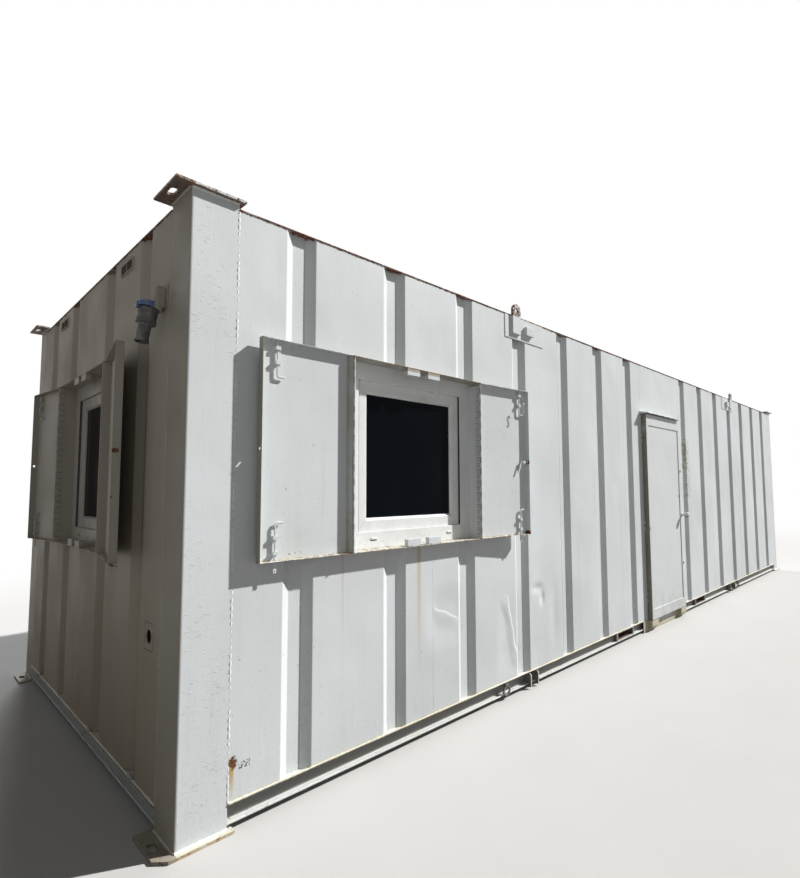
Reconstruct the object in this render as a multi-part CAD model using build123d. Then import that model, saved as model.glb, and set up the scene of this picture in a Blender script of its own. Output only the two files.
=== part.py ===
from build123d import *
import math
import os

# Portable site cabin: a steel box on a channel base, 32 by 10 feet.
# X runs along the front wall, Y from front to back, Z up. The ground is z = 0 and the
# origin is the outer corner of the post at the left end of the front wall.
# All sizes are in millimetres.

# Overall box
cabin_length = 9754
cabin_width = 3048
roof_height = 2660

# Corner posts with their head and foot plates
post_front_width = 207
post_end_width = 216
post_wall = 6
head_plate_rise = 36
head_plate_thickness = 12
foot_plate_thickness = 14
plate_end_reach = 73
plate_front_reach = 26
plate_inner_reach = 22
foot_chamfer = 45
lash_slot_length = 70
lash_slot_width = 30
lash_slot_reach = 40

# Base channels, joists and fork pockets
rail_bottom = 30
rail_height = 82
rail_depth = 40
rail_wall = 5
joist_width = 60
joist_count = 12
pocket_width = 330
pocket_wall = 6
pocket_offsets = (-955, 1055)

# Pressed steel skin
skin = 3
rib_depth = 30
rib_mouth = 160
rib_floor = 70
front_rib_count = 7
rib_from_near_end = 525
rib_from_far_end = 597
rib_to_door = 304
rib_from_door = 257
end_rib_pitch = 580
end_rib_middle = 395
back_rib_count = 15
back_rib_from_end = 691

# Lining, floor and roof
lining = 57
floor_thickness = 25
roof_depth = 170
ceiling_board = 12
roof_camber = 14
roof_folds = 6
seam_count = 15
seam_width = 14
seam_rise = 16
trim_width = 62
trim_thickness = 5
trim_overhang = 4

# Windows: steel surround, white frame, sash and glass
surround_width = 990
surround_height = 1004
surround_bottom = 1088
surround_reach = 60
surround_wall = 3
window_frame_setback = 30
window_member = 91
sash_member = 71
sash_recess = 14
sash_depth = 36
frame_bead = 12
glass_setback = 18
glass_thickness = 14
handle_reach = 30
handle_bar = 10
front_window_centre = 1297
end_window_centre = 1464

# Keeper blocks that the shutter bolts shoot into
keeper_length = 96
keeper_height = 42
keeper_depth = 30
keeper_spacing = 162

# Shutters: steel trays on upright hinges
shutter_depth = 36
shutter_wall = 3
shutter_centre_gap = 8
hinge_radius = 5
hinge_pin_radius = 2.5
hinge_running = 3
hinge_knuckles = 27
knuckle_gap = 0.8
padlock_hole = 16
bolt_inset = 82
bolt_radius = 5
bolt_plate_width = 46
bolt_plate_height = 84
bolt_plate_offset = 30
bolt_plate_thickness = 3
bolt_lug_width = 24
bolt_lug_height = 16
bolt_lug_reach = 22
bolt_rise = 172
bolt_turn = 38
tongue_width = 16
tongue_thickness = 4
tongue_length = 62
tongue_hole = 8
tongue_shoot = 50
latch_length = 66
latch_handle = 78
latch_handle_lean = 25

# How far each shutter stands open, in degrees
front_shutter_angles = (180, 176)
end_shutter_angles = (173, 171)

# Door: a leaf with a sunk panel, hung in front of a lined doorway
door_offset = 460
door_width = 895
door_reach = 50
door_stile = 55
door_head_bottom = 2036
door_head_height = 124
door_sill_height = 105
door_gap = 6
door_panel_depth = 7
door_panel_rise = 98
door_hinge_low = 220
door_hinge_middle = 1030
door_hinge_high = 241
door_hinge_length = 90
door_hinge_radius = 6
door_pin_radius = 3.5
door_hinge_plate = 4
pin_running = 0.06
hood_reach = 78
hood_thickness = 3
hood_lip = 7
hood_fall = 18
hood_near_side = 37
hood_far_inset = 45
sill_side = 115
sill_plate = 5
sill_clear = 2
sill_bracket = 150
sill_bracket_inset = 10
knob_height = 1105
knob_stages = ((6, 18, 18), (10, 9, 9), (24, 9, 27), (20, 27, 27), (18, 27, 15))
lock_heights = (585, 1590)
lock_inset = 20
lock_radius = 15
lock_face_radius = 12
lock_depth = 9

# Lifting eyes, their doubler plates and blocks
eye_from_near_end = 2275
eye_from_far_end = 2309
eye_width = 96
eye_thickness = 18
eye_rise = 82
eye_drop = 138
eye_hole = 40
doubler_length = 480
doubler_drop = 174
doubler_thickness = 5
doubler_offset = 120
block_width = 95
block_height = 62
block_thickness = 25
block_offset = 160
block_drop = 124

# Lashing lugs and rings on the base channel, measured from the lifting eyes
lug_offsets = ((95, 185), (-195, -395))
lug_thickness = 10
lug_reach = 24
lug_bottom = 14
ring_offsets = (-168, 2)
ring_bottom = 22
ring_radius = 33
ring_bar_radius = 5
ring_tab = 26

# Vents, inlet and cable hole in the end wall
vent_positions = (834, 2210)
vent_width = 190
vent_height = 62
vent_drop = 50
vent_slats = 6
vent_reach = 8
vent_border = 8
inlet_y = 285
inlet_drop = 388
inlet_plate_width = 112
inlet_plate_height = 104
inlet_plate_thickness = 5
inlet_lean = 10
inlet_housing_width = 78
inlet_housing_reach = 46
inlet_bevel = 12
collar_radius = 51
collar_height = 24
collar_setback = 58
connector_radius = 38
connector_body = 50
shoulder_radius = 41
shoulder_height = 22
grip_radius = 26
grip_length = 84
grip_flare = 30
grip_flare_length = 22
cable_hole_y = 349
cable_hole_height = 770
cable_hole = 60

# Derived places
head_plate_height = roof_height + head_plate_rise
ceiling_height = roof_height - roof_depth
rail_top = rail_bottom + rail_height
floor_top = rail_top + floor_thickness
wall_top = roof_height - trim_thickness
skin_back = rib_depth + skin
lining_back = skin_back + lining
door_frame_left = cabin_length / 2 - door_offset
door_frame_right = door_frame_left + door_width
door_frame_top = door_head_bottom + door_head_height
opening = (door_frame_left + door_stile, door_frame_right - door_stile)
hood_bottom = door_frame_top - hood_lip
leaf_height = (door_sill_height + door_gap, hood_bottom - door_gap)
hinge_heights = (leaf_height[0] + door_hinge_low, door_hinge_middle, leaf_height[1] - door_hinge_high)
surround_top = surround_bottom + surround_height
hinge_clear = hinge_radius + 1
hinge_step = surround_height / hinge_knuckles
shutter_width = surround_width / 2 + hinge_clear - shutter_centre_gap / 2
shutter_skin_face = -hinge_running - shutter_depth + shutter_wall
eye_positions = (eye_from_near_end, cabin_length - eye_from_far_end)
eye_bottom = roof_height - eye_drop
eye_top = roof_height + eye_rise
vent_top = roof_height - vent_drop
inlet_height = roof_height - inlet_drop
bar_sides = 6
pin_sides = 4
round_sides = 16
outwards = Rot(90, 0, 0)
nodes = {}


def block(x, y, z):
    """A box from (low, high) pairs along X, Y and Z."""
    size = (x[1] - x[0], y[1] - y[0], z[1] - z[0])
    centre = ((x[0] + x[1]) / 2, (y[0] + y[1]) / 2, (z[0] + z[1]) / 2)
    return Pos(*centre) * Box(*size)


def prism(points, low, high):
    """An upright prism over a closed outline in X and Y."""
    face = make_face(Polyline(*points, close=True))
    return extrude(Pos(0, 0, low) * face, high - low, dir=(0, 0, 1))


def upright(radius, x, y, low, high):
    """An upright round bar."""
    return Pos(x, y, (low + high) / 2) * Cylinder(radius, high - low)


def bar(radius, low, high, sides=bar_sides):
    """An upright bar of few sides on the Z axis, for small rods and hinge knuckles."""
    return extrude(Pos(0, 0, low) * RegularPolygon(radius, sides), high - low, dir=(0, 0, 1))


def bar_bore(radius, low, high, sides=bar_sides):
    """The hole that lets a bar of this radius turn, on the Z axis."""
    section = RegularPolygon(radius + pin_running, sides, major_radius=False)
    return extrude(Pos(0, 0, low) * section, high - low, dir=(0, 0, 1))


def turned(stages):
    """A turned piece on the Z axis, built up from (length, start radius, end radius) stages."""
    pieces = []
    low = 0
    for length, start, end in stages:
        lean = math.degrees(math.atan((start - end) * math.cos(math.pi / round_sides) / length))
        pieces.append(extrude(Pos(0, 0, low) * RegularPolygon(start, round_sides), length, taper=lean))
        low += length
    return pieces[0] + pieces[1:]


def bent_bar(points, radius, bend, sides):
    """A bar of few sides along straight runs, its bends made of mitred lengths."""
    route = []
    for edge in FilletPolyline(*points, radius=bend).edges():
        route.append(edge @ 0)
        if edge.geom_type == GeomType.CIRCLE:
            route.append(edge @ 0.5)
    path = Polyline(*route, points[-1])
    section = Plane(origin=path @ 0, z_dir=path % 0) * RegularPolygon(radius, sides)
    return sweep(section, path=path, transition=Transition.RIGHT)


def lengthwise(section, start, end):
    """A straight piece along X from its section in Y and Z."""
    face = Plane.YZ * make_face(Polyline(*section, close=True))
    return extrude(Pos(start, 0, 0) * face, end - start, dir=(1, 0, 0))


def to_back(piece):
    """A piece of the front wall, mirrored to the back wall."""
    return mirror(piece, Plane.XZ.offset(-cabin_width / 2))


def to_far_end(piece):
    """A piece of the near end, mirrored to the far end."""
    return mirror(piece, Plane.YZ.offset(cabin_length / 2))


def to_near_end(piece):
    """A piece drawn on a front wall face, turned to face along -X on the near end wall."""
    return Pos(0, cabin_width, 0) * Rot(0, 0, -90) * piece


# Corner posts
def corner_post():
    """Folded corner post at the origin, with its welded head and foot plates."""
    outline = [
        (0, 0),
        (post_front_width, 0),
        (post_front_width, skin_back),
        (post_front_width - post_wall, skin_back),
        (post_front_width - post_wall, post_wall),
        (post_wall, post_wall),
        (post_wall, post_end_width - post_wall),
        (skin_back, post_end_width - post_wall),
        (skin_back, post_end_width),
        (0, post_end_width),
    ]
    low = foot_plate_thickness
    high = head_plate_height - head_plate_thickness
    plate_x = (-plate_end_reach, post_front_width + plate_inner_reach)
    plate_y = (-plate_front_reach, post_end_width + plate_inner_reach)
    head = block(plate_x, plate_y, (high, head_plate_height))
    foot_outline = [
        (plate_x[0] + foot_chamfer, plate_y[0]),
        (plate_x[1], plate_y[0]),
        (plate_x[1], plate_y[1]),
        (plate_x[0], plate_y[1]),
        (plate_x[0], plate_y[0] + foot_chamfer),
    ]
    foot = prism(foot_outline, 0, low)
    slot_shape = Rot(0, 0, 90) * SlotOverall(lash_slot_length, lash_slot_width)
    slot = extrude(Pos(-lash_slot_reach, post_end_width / 2, 0) * slot_shape, head_plate_height)
    return prism(outline, low, high) + (head - slot) + (foot - slot)


near_front = corner_post()
nodes["corner_post_near_front"] = near_front
nodes["corner_post_near_back"] = to_back(near_front)
nodes["corner_post_far_front"] = to_far_end(near_front)
nodes["corner_post_far_back"] = to_far_end(to_back(near_front))

# Base: rails, joists, fork pockets and floor
pocket_centres = [cabin_length / 2 + offset for offset in pocket_offsets]
pocket_spans = [(c - pocket_width / 2, c + pocket_width / 2) for c in pocket_centres]
pocket_low = rail_bottom + rail_wall
pocket_high = rail_top - rail_wall


def rail(low, high):
    """Base channel along X, open towards -Y, its lips in the wall's face."""
    whole = block((low, high), (0, rail_depth), (rail_bottom, rail_top))
    mouth = block((low, high), (0, rail_depth - rail_wall), (pocket_low, pocket_high))
    return whole - mouth


front_rail = rail(post_front_width, cabin_length - post_front_width)
for span in pocket_spans:
    front_rail -= block(span, (0, rail_depth), (pocket_low, pocket_high))
end_rail = to_near_end(rail(post_end_width, cabin_width - post_end_width))
nodes["base_rail_front"] = front_rail
nodes["base_rail_back"] = to_back(front_rail)
nodes["base_rail_near_end"] = end_rail
nodes["base_rail_far_end"] = to_far_end(end_rail)

joist_room = (cabin_length - 2 * rail_depth) / joist_count
joists = []
for i in range(1, joist_count):
    centre = rail_depth + i * joist_room
    low = centre - joist_width / 2
    high = centre + joist_width / 2
    if all(high < span[0] or low > span[1] for span in pocket_spans):
        joists.append(block((low, high), (rail_depth, cabin_width - rail_depth), (rail_bottom, rail_top)))
nodes["floor_joists"] = Compound(children=joists)

pockets = []
for span in pocket_spans:
    tube = block(span, (0, cabin_width), (pocket_low, pocket_high))
    way = block(
        (span[0] + pocket_wall, span[1] - pocket_wall),
        (0, cabin_width),
        (pocket_low + pocket_wall, pocket_high - pocket_wall),
    )
    pockets.append(tube - way)
nodes["fork_pockets"] = Compound(children=pockets)

within_x = (skin_back, cabin_length - skin_back)
within_y = (skin_back, cabin_width - skin_back)
room_x = (lining_back, cabin_length - lining_back)
room_y = (lining_back, cabin_width - lining_back)
nodes["floor"] = block(within_x, within_y, (rail_top, floor_top))


# Outer walls: pressed sheets with recessed ribs
def wall_sheet(run, low, high, ribs):
    """Pressed sheet along X, its face at y = 0 and its ribs sunk towards +Y."""
    outer = [(run[0], 0)]
    for centre in ribs:
        outer += [
            (centre - rib_mouth / 2, 0),
            (centre - rib_floor / 2, rib_depth),
            (centre + rib_floor / 2, rib_depth),
            (centre + rib_mouth / 2, 0),
        ]
    outer.append((run[1], 0))
    inner = [(x, y + skin) for x, y in reversed(outer)]
    return prism(outer + inner, low, high)


def window_hole(centre):
    """The place of a window's surround in a wall."""
    half = surround_width / 2
    return block((centre - half, centre + half), (0, lining_back), (surround_bottom, surround_top))


def spread(first, last, count):
    """Evenly spaced places from the first to the last."""
    return [first + i * (last - first) / (count - 1) for i in range(count)]


near_ribs = spread(rib_from_near_end, door_frame_left - rib_to_door, front_rib_count)
far_ribs = spread(door_frame_right + rib_from_door, cabin_length - rib_from_far_end, front_rib_count)
front_hole = window_hole(front_window_centre)
end_window_along = cabin_width - end_window_centre
end_hole = window_hole(end_window_along)
near_run = (post_front_width, door_frame_left)
far_run = (door_frame_right, cabin_length - post_front_width)
door_run = (door_frame_left, door_frame_right)
nodes["front_wall_near"] = wall_sheet(near_run, rail_top, wall_top, near_ribs) - front_hole
nodes["front_wall_far"] = wall_sheet(far_run, rail_top, wall_top, far_ribs)
nodes["front_wall_over_door"] = wall_sheet(door_run, door_frame_top, wall_top, [])

back_ribs = spread(back_rib_from_end, cabin_length - back_rib_from_end, back_rib_count)
back_run = (post_front_width, cabin_length - post_front_width)
nodes["back_wall"] = to_back(wall_sheet(back_run, rail_top, wall_top, back_ribs))

middle = cabin_width / 2
end_ribs = [
    middle - end_rib_middle - end_rib_pitch,
    middle - end_rib_middle,
    middle + end_rib_middle,
    middle + end_rib_middle + end_rib_pitch,
]
end_run = (post_end_width, cabin_width - post_end_width)
end_sheet = wall_sheet(end_run, rail_top, wall_top, end_ribs)
cable_way = Pos(cabin_width - cable_hole_y, skin, cable_hole_height) * Rot(90, 0, 0)
cable_way = cable_way * Cylinder(cable_hole / 2, 2 * lining_back)
nodes["end_wall_near"] = to_near_end(end_sheet - end_hole - cable_way)
nodes["end_wall_far"] = to_far_end(to_near_end(end_sheet))

# Insulated linings
lining_y = (skin_back, lining_back)
lining_z = (floor_top, ceiling_height)
nodes["lining_front_near"] = block((room_x[0], door_frame_left), lining_y, lining_z) - front_hole
nodes["lining_front_far"] = block((door_frame_right, room_x[1]), lining_y, lining_z)
nodes["lining_over_door"] = block(door_run, lining_y, (door_frame_top, ceiling_height))
nodes["lining_back"] = to_back(block(room_x, lining_y, lining_z))
end_lining = block(within_y, lining_y, lining_z)
nodes["lining_near_end"] = to_near_end(end_lining - end_hole - cable_way)
nodes["lining_far_end"] = to_far_end(to_near_end(end_lining))


# Roof: a cambered steel deck with standing seams, its edges under the folded trim
def cambered(rise):
    """Roof section in Y and Z, flat under the trims and folded to an arch between them."""
    start = trim_width - trim_overhang
    half = cabin_width / 2 - start
    section = [
        (within_y[0], wall_top),
        (within_y[0], ceiling_height),
        (within_y[1], ceiling_height),
        (within_y[1], wall_top),
    ]
    for y in spread(cabin_width - start, start, roof_folds + 1):
        section.append((y, wall_top + rise * (1 - ((y - cabin_width / 2) / half) ** 2)))
    return Plane.YZ * make_face(Polyline(*section, close=True))


deck = extrude(Pos(trim_width, 0, 0) * cambered(roof_camber), cabin_length - 2 * trim_width, dir=(1, 0, 0))
for run in ((within_x[0], trim_width), (cabin_length - trim_width, within_x[1])):
    deck += block(run, within_y, (ceiling_height, wall_top))
seam_places = spread(trim_width + seam_width, cabin_length - trim_width - seam_width, seam_count)
for place in seam_places[1:-1]:
    seam = extrude(Pos(place, 0, 0) * cambered(roof_camber + seam_rise), seam_width, dir=(1, 0, 0))
    deck += seam
nodes["roof"] = deck
nodes["ceiling"] = block(room_x, room_y, (ceiling_height - ceiling_board, ceiling_height))
trim_inward = trim_width - trim_overhang
long_trim = block(back_run, (-trim_overhang, trim_inward), (wall_top, roof_height))
short_trim = to_near_end(block(end_run, (-trim_overhang, trim_inward), (wall_top, roof_height)))
trims = [long_trim, to_back(long_trim), short_trim, to_far_end(short_trim)]
nodes["roof_trim"] = Compound(children=trims)


# Windows
knuckle_spans = []
for index in range(hinge_knuckles):
    low = surround_bottom + index * hinge_step + knuckle_gap / 2
    knuckle_spans.append((low, low + hinge_step - knuckle_gap))
knuckle_side = hinge_radius * 3**0.5 / 2
roll = [(-knuckle_side, hinge_radius / 2), (-knuckle_side, -hinge_radius / 2), (0, -hinge_radius)]


def hinge_side():
    """Pin and rolled knuckles with tabs of a hinge whose surround lies towards +X."""
    tab_back = 2 * hinge_radius + hinge_running
    outline = [
        (0, tab_back),
        *roll,
        (knuckle_side, -hinge_radius / 2),
        (hinge_clear, hinge_clear - hinge_radius),
        (hinge_clear, tab_back),
    ]
    knuckles = [prism(outline, *span) for span in knuckle_spans[0::2]]
    return bar(hinge_pin_radius, surround_bottom, surround_top, pin_sides) + knuckles


def hinge_place(centre, side):
    """Axis of the shutter hinge on the low (-1) or high (+1) side of a window."""
    return (centre + side * (surround_width / 2 + hinge_clear), -surround_reach - hinge_running)


fixed_hinge = hinge_side()


def surround(centre):
    """Open steel box round a window, with keeper blocks and the fixed hinge sides."""
    half = surround_width / 2
    depth = (-surround_reach, lining_back)
    box = block((centre - half, centre + half), depth, (surround_bottom, surround_top))
    box -= block(
        (centre - half + surround_wall, centre + half - surround_wall),
        depth,
        (surround_bottom + surround_wall, surround_top - surround_wall),
    )
    for side in (-1, 1):
        keeper_middle = centre + side * keeper_spacing / 2
        run = (keeper_middle - keeper_length / 2, keeper_middle + keeper_length / 2)
        reach = (-surround_reach, -surround_reach + keeper_depth)
        box += block(run, reach, (surround_top - keeper_height, surround_top))
        box += block(run, reach, (surround_bottom, surround_bottom + keeper_height))
        x, y = hinge_place(centre, side)
        box += Pos(x, y, 0) * (fixed_hinge if side < 0 else mirror(fixed_hinge, Plane.YZ))
    return box


def ring(centre, inset, member, y):
    """Upright frame that lies inset from the surround's outer face."""
    half = surround_width / 2 - inset
    z = (surround_bottom + inset, surround_top - inset)
    outer = block((centre - half, centre + half), y, z)
    if member is None:
        return outer
    inner_half = half - member
    return outer - block((centre - inner_half, centre + inner_half), y, (z[0] + member, z[1] - member))


def window(centre):
    """White outer frame, sash with its inside handle, and glass."""
    sash_front = window_frame_setback + sash_recess
    sash_back = sash_front + sash_depth
    glass_front = sash_front + glass_setback
    sash_inset = surround_wall + window_member
    frame = ring(centre, surround_wall, window_member, (window_frame_setback, lining_back))
    sash = ring(centre, sash_inset, sash_member, (sash_front, sash_back))
    bead = sash.faces().sort_by(Axis.Y)[0].inner_wires()[0].edges()
    sash = chamfer(bead, frame_bead)
    handle_x = centre + surround_width / 2 - sash_inset - sash_member / 2
    handle_z = (surround_bottom + surround_top) / 2
    handle_back = sash_back + handle_reach
    handle = Pos(handle_x, 0, handle_z) * (
        block((-13, 13), (sash_back, sash_back + handle_bar), (-34, 34))
        + block((-7, 7), (sash_back, handle_back), (-7, 7))
        + block((-9, 9), (handle_back - handle_bar, handle_back), (-118, 10))
    )
    glass = ring(centre, sash_inset + sash_member, None, (glass_front, glass_front + glass_thickness))
    return frame, sash + handle, glass


for name, centre, place in (
    ("front", front_window_centre, Pos(0, 0, 0)),
    ("end", end_window_along, Pos(0, cabin_width, 0) * Rot(0, 0, -90)),
):
    frame, sash, glass = window(centre)
    nodes[name + "_window_surround"] = place * surround(centre)
    nodes[name + "_window_frame"] = place * frame
    nodes[name + "_window_sash"] = place * sash
    nodes[name + "_window_glass"] = place * glass


# Shutters
def bolt(up, turn):
    """Rod bolt inside a leaf, at its top (up = 1) or bottom (up = -1), its grip bent along X."""
    x = shutter_width - bolt_inset
    edge = surround_top if up > 0 else surround_bottom
    near = edge - up * bolt_plate_offset
    low, high = sorted((near, near - up * bolt_plate_height))
    plate_run = (x - bolt_plate_width / 2, x + bolt_plate_width / 2)
    lug_run = (x - bolt_lug_width / 2, x + bolt_lug_width / 2)
    plate_back = shutter_skin_face + bolt_plate_thickness
    lug_back = shutter_skin_face + bolt_lug_reach
    rod_y = (plate_back + lug_back) / 2
    rod_end = edge - up * (shutter_wall + knuckle_gap)
    grip_z = edge - up * bolt_rise
    route = ((x, rod_y, rod_end), (x, rod_y, grip_z), (x + turn * bolt_turn, rod_y, grip_z))
    pieces = [bent_bar(route, bolt_radius, 2 * bolt_radius, bar_sides)]
    for lug in ((low, low + bolt_lug_height), (high - bolt_lug_height, high)):
        pieces.append(block(lug_run, (shutter_skin_face, lug_back), lug))
    if up < 0:
        tongue_z = (edge - tongue_shoot, edge - tongue_shoot + tongue_length)
        tongue = block(
            (x - tongue_width / 2, x + tongue_width / 2),
            (rod_y - tongue_thickness / 2, rod_y + tongue_thickness / 2),
            tongue_z,
        )
        eye = Pos(x, rod_y, tongue_z[0] + tongue_hole) * Rot(90, 0, 0)
        pieces.append(tongue - eye * bar(tongue_hole / 2, -tongue_hole, tongue_hole))
    return block(plate_run, (shutter_skin_face, plate_back), (low, high)) + pieces


def latch():
    """Level bolt at mid height of a right leaf, through its free edge, with a hanging grip."""
    middle = surround_bottom + surround_height / 2
    y = -hinge_running - shutter_depth / 2
    rod_start = shutter_width - latch_length
    rod = Pos(rod_start, y, middle) * Rot(0, 90, 0) * bar(bolt_radius, 0, latch_length)
    seat_run = (rod_start + 2 * bolt_radius, rod_start + 2 * bolt_radius + bolt_lug_width)
    seat = block(seat_run, (shutter_skin_face, y + 2 * bolt_radius), (middle - 10, middle + 10))
    grip = block((-bolt_radius, bolt_radius), (-3, 3), (-latch_handle, bolt_radius))
    return rod + [seat, Pos(rod_start, y, middle) * Rot(0, latch_handle_lean, 0) * grip]


def shutter(turn, latched):
    """Shutter leaf as it is shut, the hinge axis on Z through the origin."""
    run = (hinge_clear, shutter_width)
    y = (-hinge_running - shutter_depth, -hinge_running)
    leaf = block(run, y, (surround_bottom, surround_top))
    leaf -= block(
        (run[0] + shutter_wall, run[1] - shutter_wall),
        (y[0] + shutter_wall, y[1]),
        (surround_bottom + shutter_wall, surround_top - shutter_wall),
    )
    hole_place = Pos(shutter_width, (y[0] + y[1]) / 2, surround_bottom + surround_height / 2)
    leaf -= hole_place * Rot(0, 90, 0) * bar(padlock_hole / 2, -2 * shutter_wall, 2 * shutter_wall)
    pieces = [bolt(1, turn), bolt(-1, turn)]
    if latched:
        pieces.append(latch())
    tab_end = hinge_clear + shutter_wall
    outline = [
        (0, hinge_radius),
        *roll,
        (tab_end, -hinge_radius),
        (tab_end, -hinge_running),
        (knuckle_side, -hinge_running),
        (knuckle_side, hinge_radius / 2),
    ]
    pieces += [prism(outline, *span) for span in knuckle_spans[1::2]]
    return leaf + pieces - bar_bore(hinge_pin_radius, surround_bottom, surround_top, pin_sides)


left_leaf = shutter(-1, False)
right_leaf = mirror(shutter(1, True), Plane.YZ)
for name, centre, place, angles in (
    ("front", front_window_centre, Pos(0, 0, 0), front_shutter_angles),
    ("end", end_window_along, Pos(0, cabin_width, 0) * Rot(0, 0, -90), end_shutter_angles),
):
    low_x, y = hinge_place(centre, -1)
    high_x = hinge_place(centre, 1)[0]
    nodes[name + "_shutter_left"] = place * Pos(low_x, y, 0) * Rot(0, 0, -angles[0]) * left_leaf
    nodes[name + "_shutter_right"] = place * Pos(high_x, y, 0) * Rot(0, 0, angles[1]) * right_leaf


# Doorway through the wall, and the three hinges on the wall beside it
frame = block(door_run, (0, skin_back), (rail_top, door_frame_top))
frame += block(door_run, (skin_back, lining_back), (floor_top, door_frame_top))
nodes["door_frame"] = frame - block(opening, (0, lining_back), (rail_top, door_head_bottom))

hinge_set = door_hinge_radius + 1
axis_place = Pos(door_frame_left - hinge_set, -hinge_set, 0)
hinge_third = door_hinge_length / 3
fixed_halves = []
moving_halves = []
for height in hinge_heights:
    low = height - door_hinge_length / 2
    high = low + door_hinge_length
    half = bar(door_pin_radius, low, high)
    for z in ((low, low + hinge_third), (high - hinge_third, high)):
        plate_x = (-door_hinge_radius, door_hinge_plate - door_hinge_radius)
        half += [bar(door_hinge_radius, *z), block(plate_x, (0, hinge_set), z)]
    fixed_halves.append(axis_place * half)
    z = (low + hinge_third + knuckle_gap / 2, high - hinge_third - knuckle_gap / 2)
    flap = block((0, door_hinge_radius + 2), (-door_hinge_plate / 2, door_hinge_plate / 2), z)
    moving_halves.append(axis_place * (bar(door_hinge_radius, *z) + flap - bar_bore(door_pin_radius, *z)))
nodes["door_hinges"] = Compound(children=fixed_halves)

# Door leaf with its sunk panel, knob and two locks
leaf = block(door_run, (-door_reach, -door_gap), leaf_height)
panel_z = (leaf_height[0] + door_panel_rise, door_head_bottom)
leaf -= block(opening, (-door_reach, door_panel_depth - door_reach), panel_z)
nodes["door_leaf"] = leaf + moving_halves

lock_x = door_frame_right - lock_inset
nodes["door_handle"] = Pos(lock_x, -door_reach, knob_height) * outwards * turned(knob_stages)
locks = []
for height in lock_heights:
    place = Pos(lock_x, -door_reach, height) * outwards
    locks.append(place * turned([(lock_depth, lock_radius, lock_face_radius)]))
nodes["door_locks"] = Compound(children=locks)

# Rain hood over the door: a folded sheet that falls outwards, with a plate at each end
hood_run = (door_frame_left - hood_near_side, door_frame_right - hood_far_inset)
hood_root = door_frame_top + hood_fall
hood_section = [
    (0, hood_root),
    (-hood_reach, door_frame_top),
    (-hood_reach, hood_bottom),
    (-hood_reach + hood_thickness, hood_bottom),
    (-hood_reach + hood_thickness, door_frame_top - hood_thickness),
    (0, hood_root - hood_thickness),
]
hood_cheek = [(0, hood_root), (-hood_reach, door_frame_top), (-hood_reach, hood_bottom), (0, hood_bottom)]
hood = lengthwise(hood_section, *hood_run)
hood += lengthwise(hood_cheek, hood_run[0], hood_run[0] + hood_thickness)
hood += lengthwise(hood_cheek, hood_run[1] - hood_thickness, hood_run[1])
nodes["door_hood"] = hood

# Sill plate under the door, down to the ground, with a bracket near each end
sill_run = (door_frame_left - sill_side, door_frame_right + sill_side)
sill = block(sill_run, (-sill_plate, 0), (sill_clear, door_sill_height))
bracket_section = [
    (-sill_plate, sill_clear + sill_plate),
    (-door_reach, door_sill_height / 2),
    (-door_reach, door_sill_height),
    (-sill_plate, door_sill_height),
]
bracket_start = door_frame_left - sill_bracket_inset
bracket_end = door_frame_right + sill_bracket_inset
sill += lengthwise(bracket_section, bracket_start, bracket_start + sill_bracket)
sill += lengthwise(bracket_section, bracket_end - sill_bracket, bracket_end)
nodes["door_sill"] = sill

# Lifting eyes with doubler plates and stop blocks
eyes = []
doublers = []
for position, inward in ((eye_positions[0], 1), (eye_positions[1], -1)):
    half = eye_width / 2
    plate = block((-half, half), (0, eye_thickness), (eye_bottom, eye_top - half))
    crown = Pos(0, eye_thickness, eye_top - half) * outwards
    plate += crown * turned([(eye_thickness, half, half)])
    plate -= crown * Cylinder(eye_hole / 2, 3 * eye_thickness)
    front_eye = Pos(position, -doubler_thickness - eye_thickness, 0) * plate
    centre = position + inward * doubler_offset
    run = (centre - doubler_length / 2, centre + doubler_length / 2)
    doubler = block(run, (-doubler_thickness, 0), (roof_height - doubler_drop, wall_top))
    stop = position + inward * block_offset
    stop_run = (stop - block_width / 2, stop + block_width / 2)
    doubler += block(
        stop_run,
        (-doubler_thickness - block_thickness, -doubler_thickness),
        (roof_height - block_drop, roof_height - block_drop + block_height),
    )
    eyes += [front_eye, to_back(front_eye)]
    doublers += [doubler, to_back(doubler)]
nodes["lifting_eyes"] = Compound(children=eyes)
nodes["eye_doublers"] = Compound(children=doublers)

# Lashing lugs and rings on the base rails
lug_section = [
    (rail_depth - rail_wall, pocket_low),
    (rail_depth - rail_wall, pocket_high),
    (-lug_reach / 2, pocket_high),
    (-lug_reach, pocket_high - lug_reach / 2),
    (-lug_reach, lug_bottom),
    (0, lug_bottom),
    (0, pocket_low),
]
ring_height = ring_bottom + ring_radius + ring_bar_radius
ring_front = -2.5 * ring_bar_radius
ring_band = RegularPolygon(ring_radius + ring_bar_radius, round_sides)
ring_band -= RegularPolygon(ring_radius - ring_bar_radius, round_sides)
ring_shape = extrude(ring_band, 2 * ring_bar_radius)
lugs = []
for position, offsets, ring_offset in zip(eye_positions, lug_offsets, ring_offsets):
    for offset in offsets:
        start = position + offset - lug_thickness / 2
        lugs.append(lengthwise(lug_section, start, start + lug_thickness))
    ring_x = position + ring_offset
    circle = Pos(ring_x, 0, ring_height) * outwards * ring_shape
    tab_middle = ring_height + ring_radius
    tab = block(
        (ring_x - ring_tab / 2, ring_x + ring_tab / 2),
        (ring_front, rail_depth - rail_wall),
        (tab_middle - ring_tab / 3, tab_middle + ring_tab / 3),
    )
    lugs.append(circle + tab)
lugs += [to_back(lug) for lug in lugs]
nodes["lashing_lugs"] = Compound(children=lugs)


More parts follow.
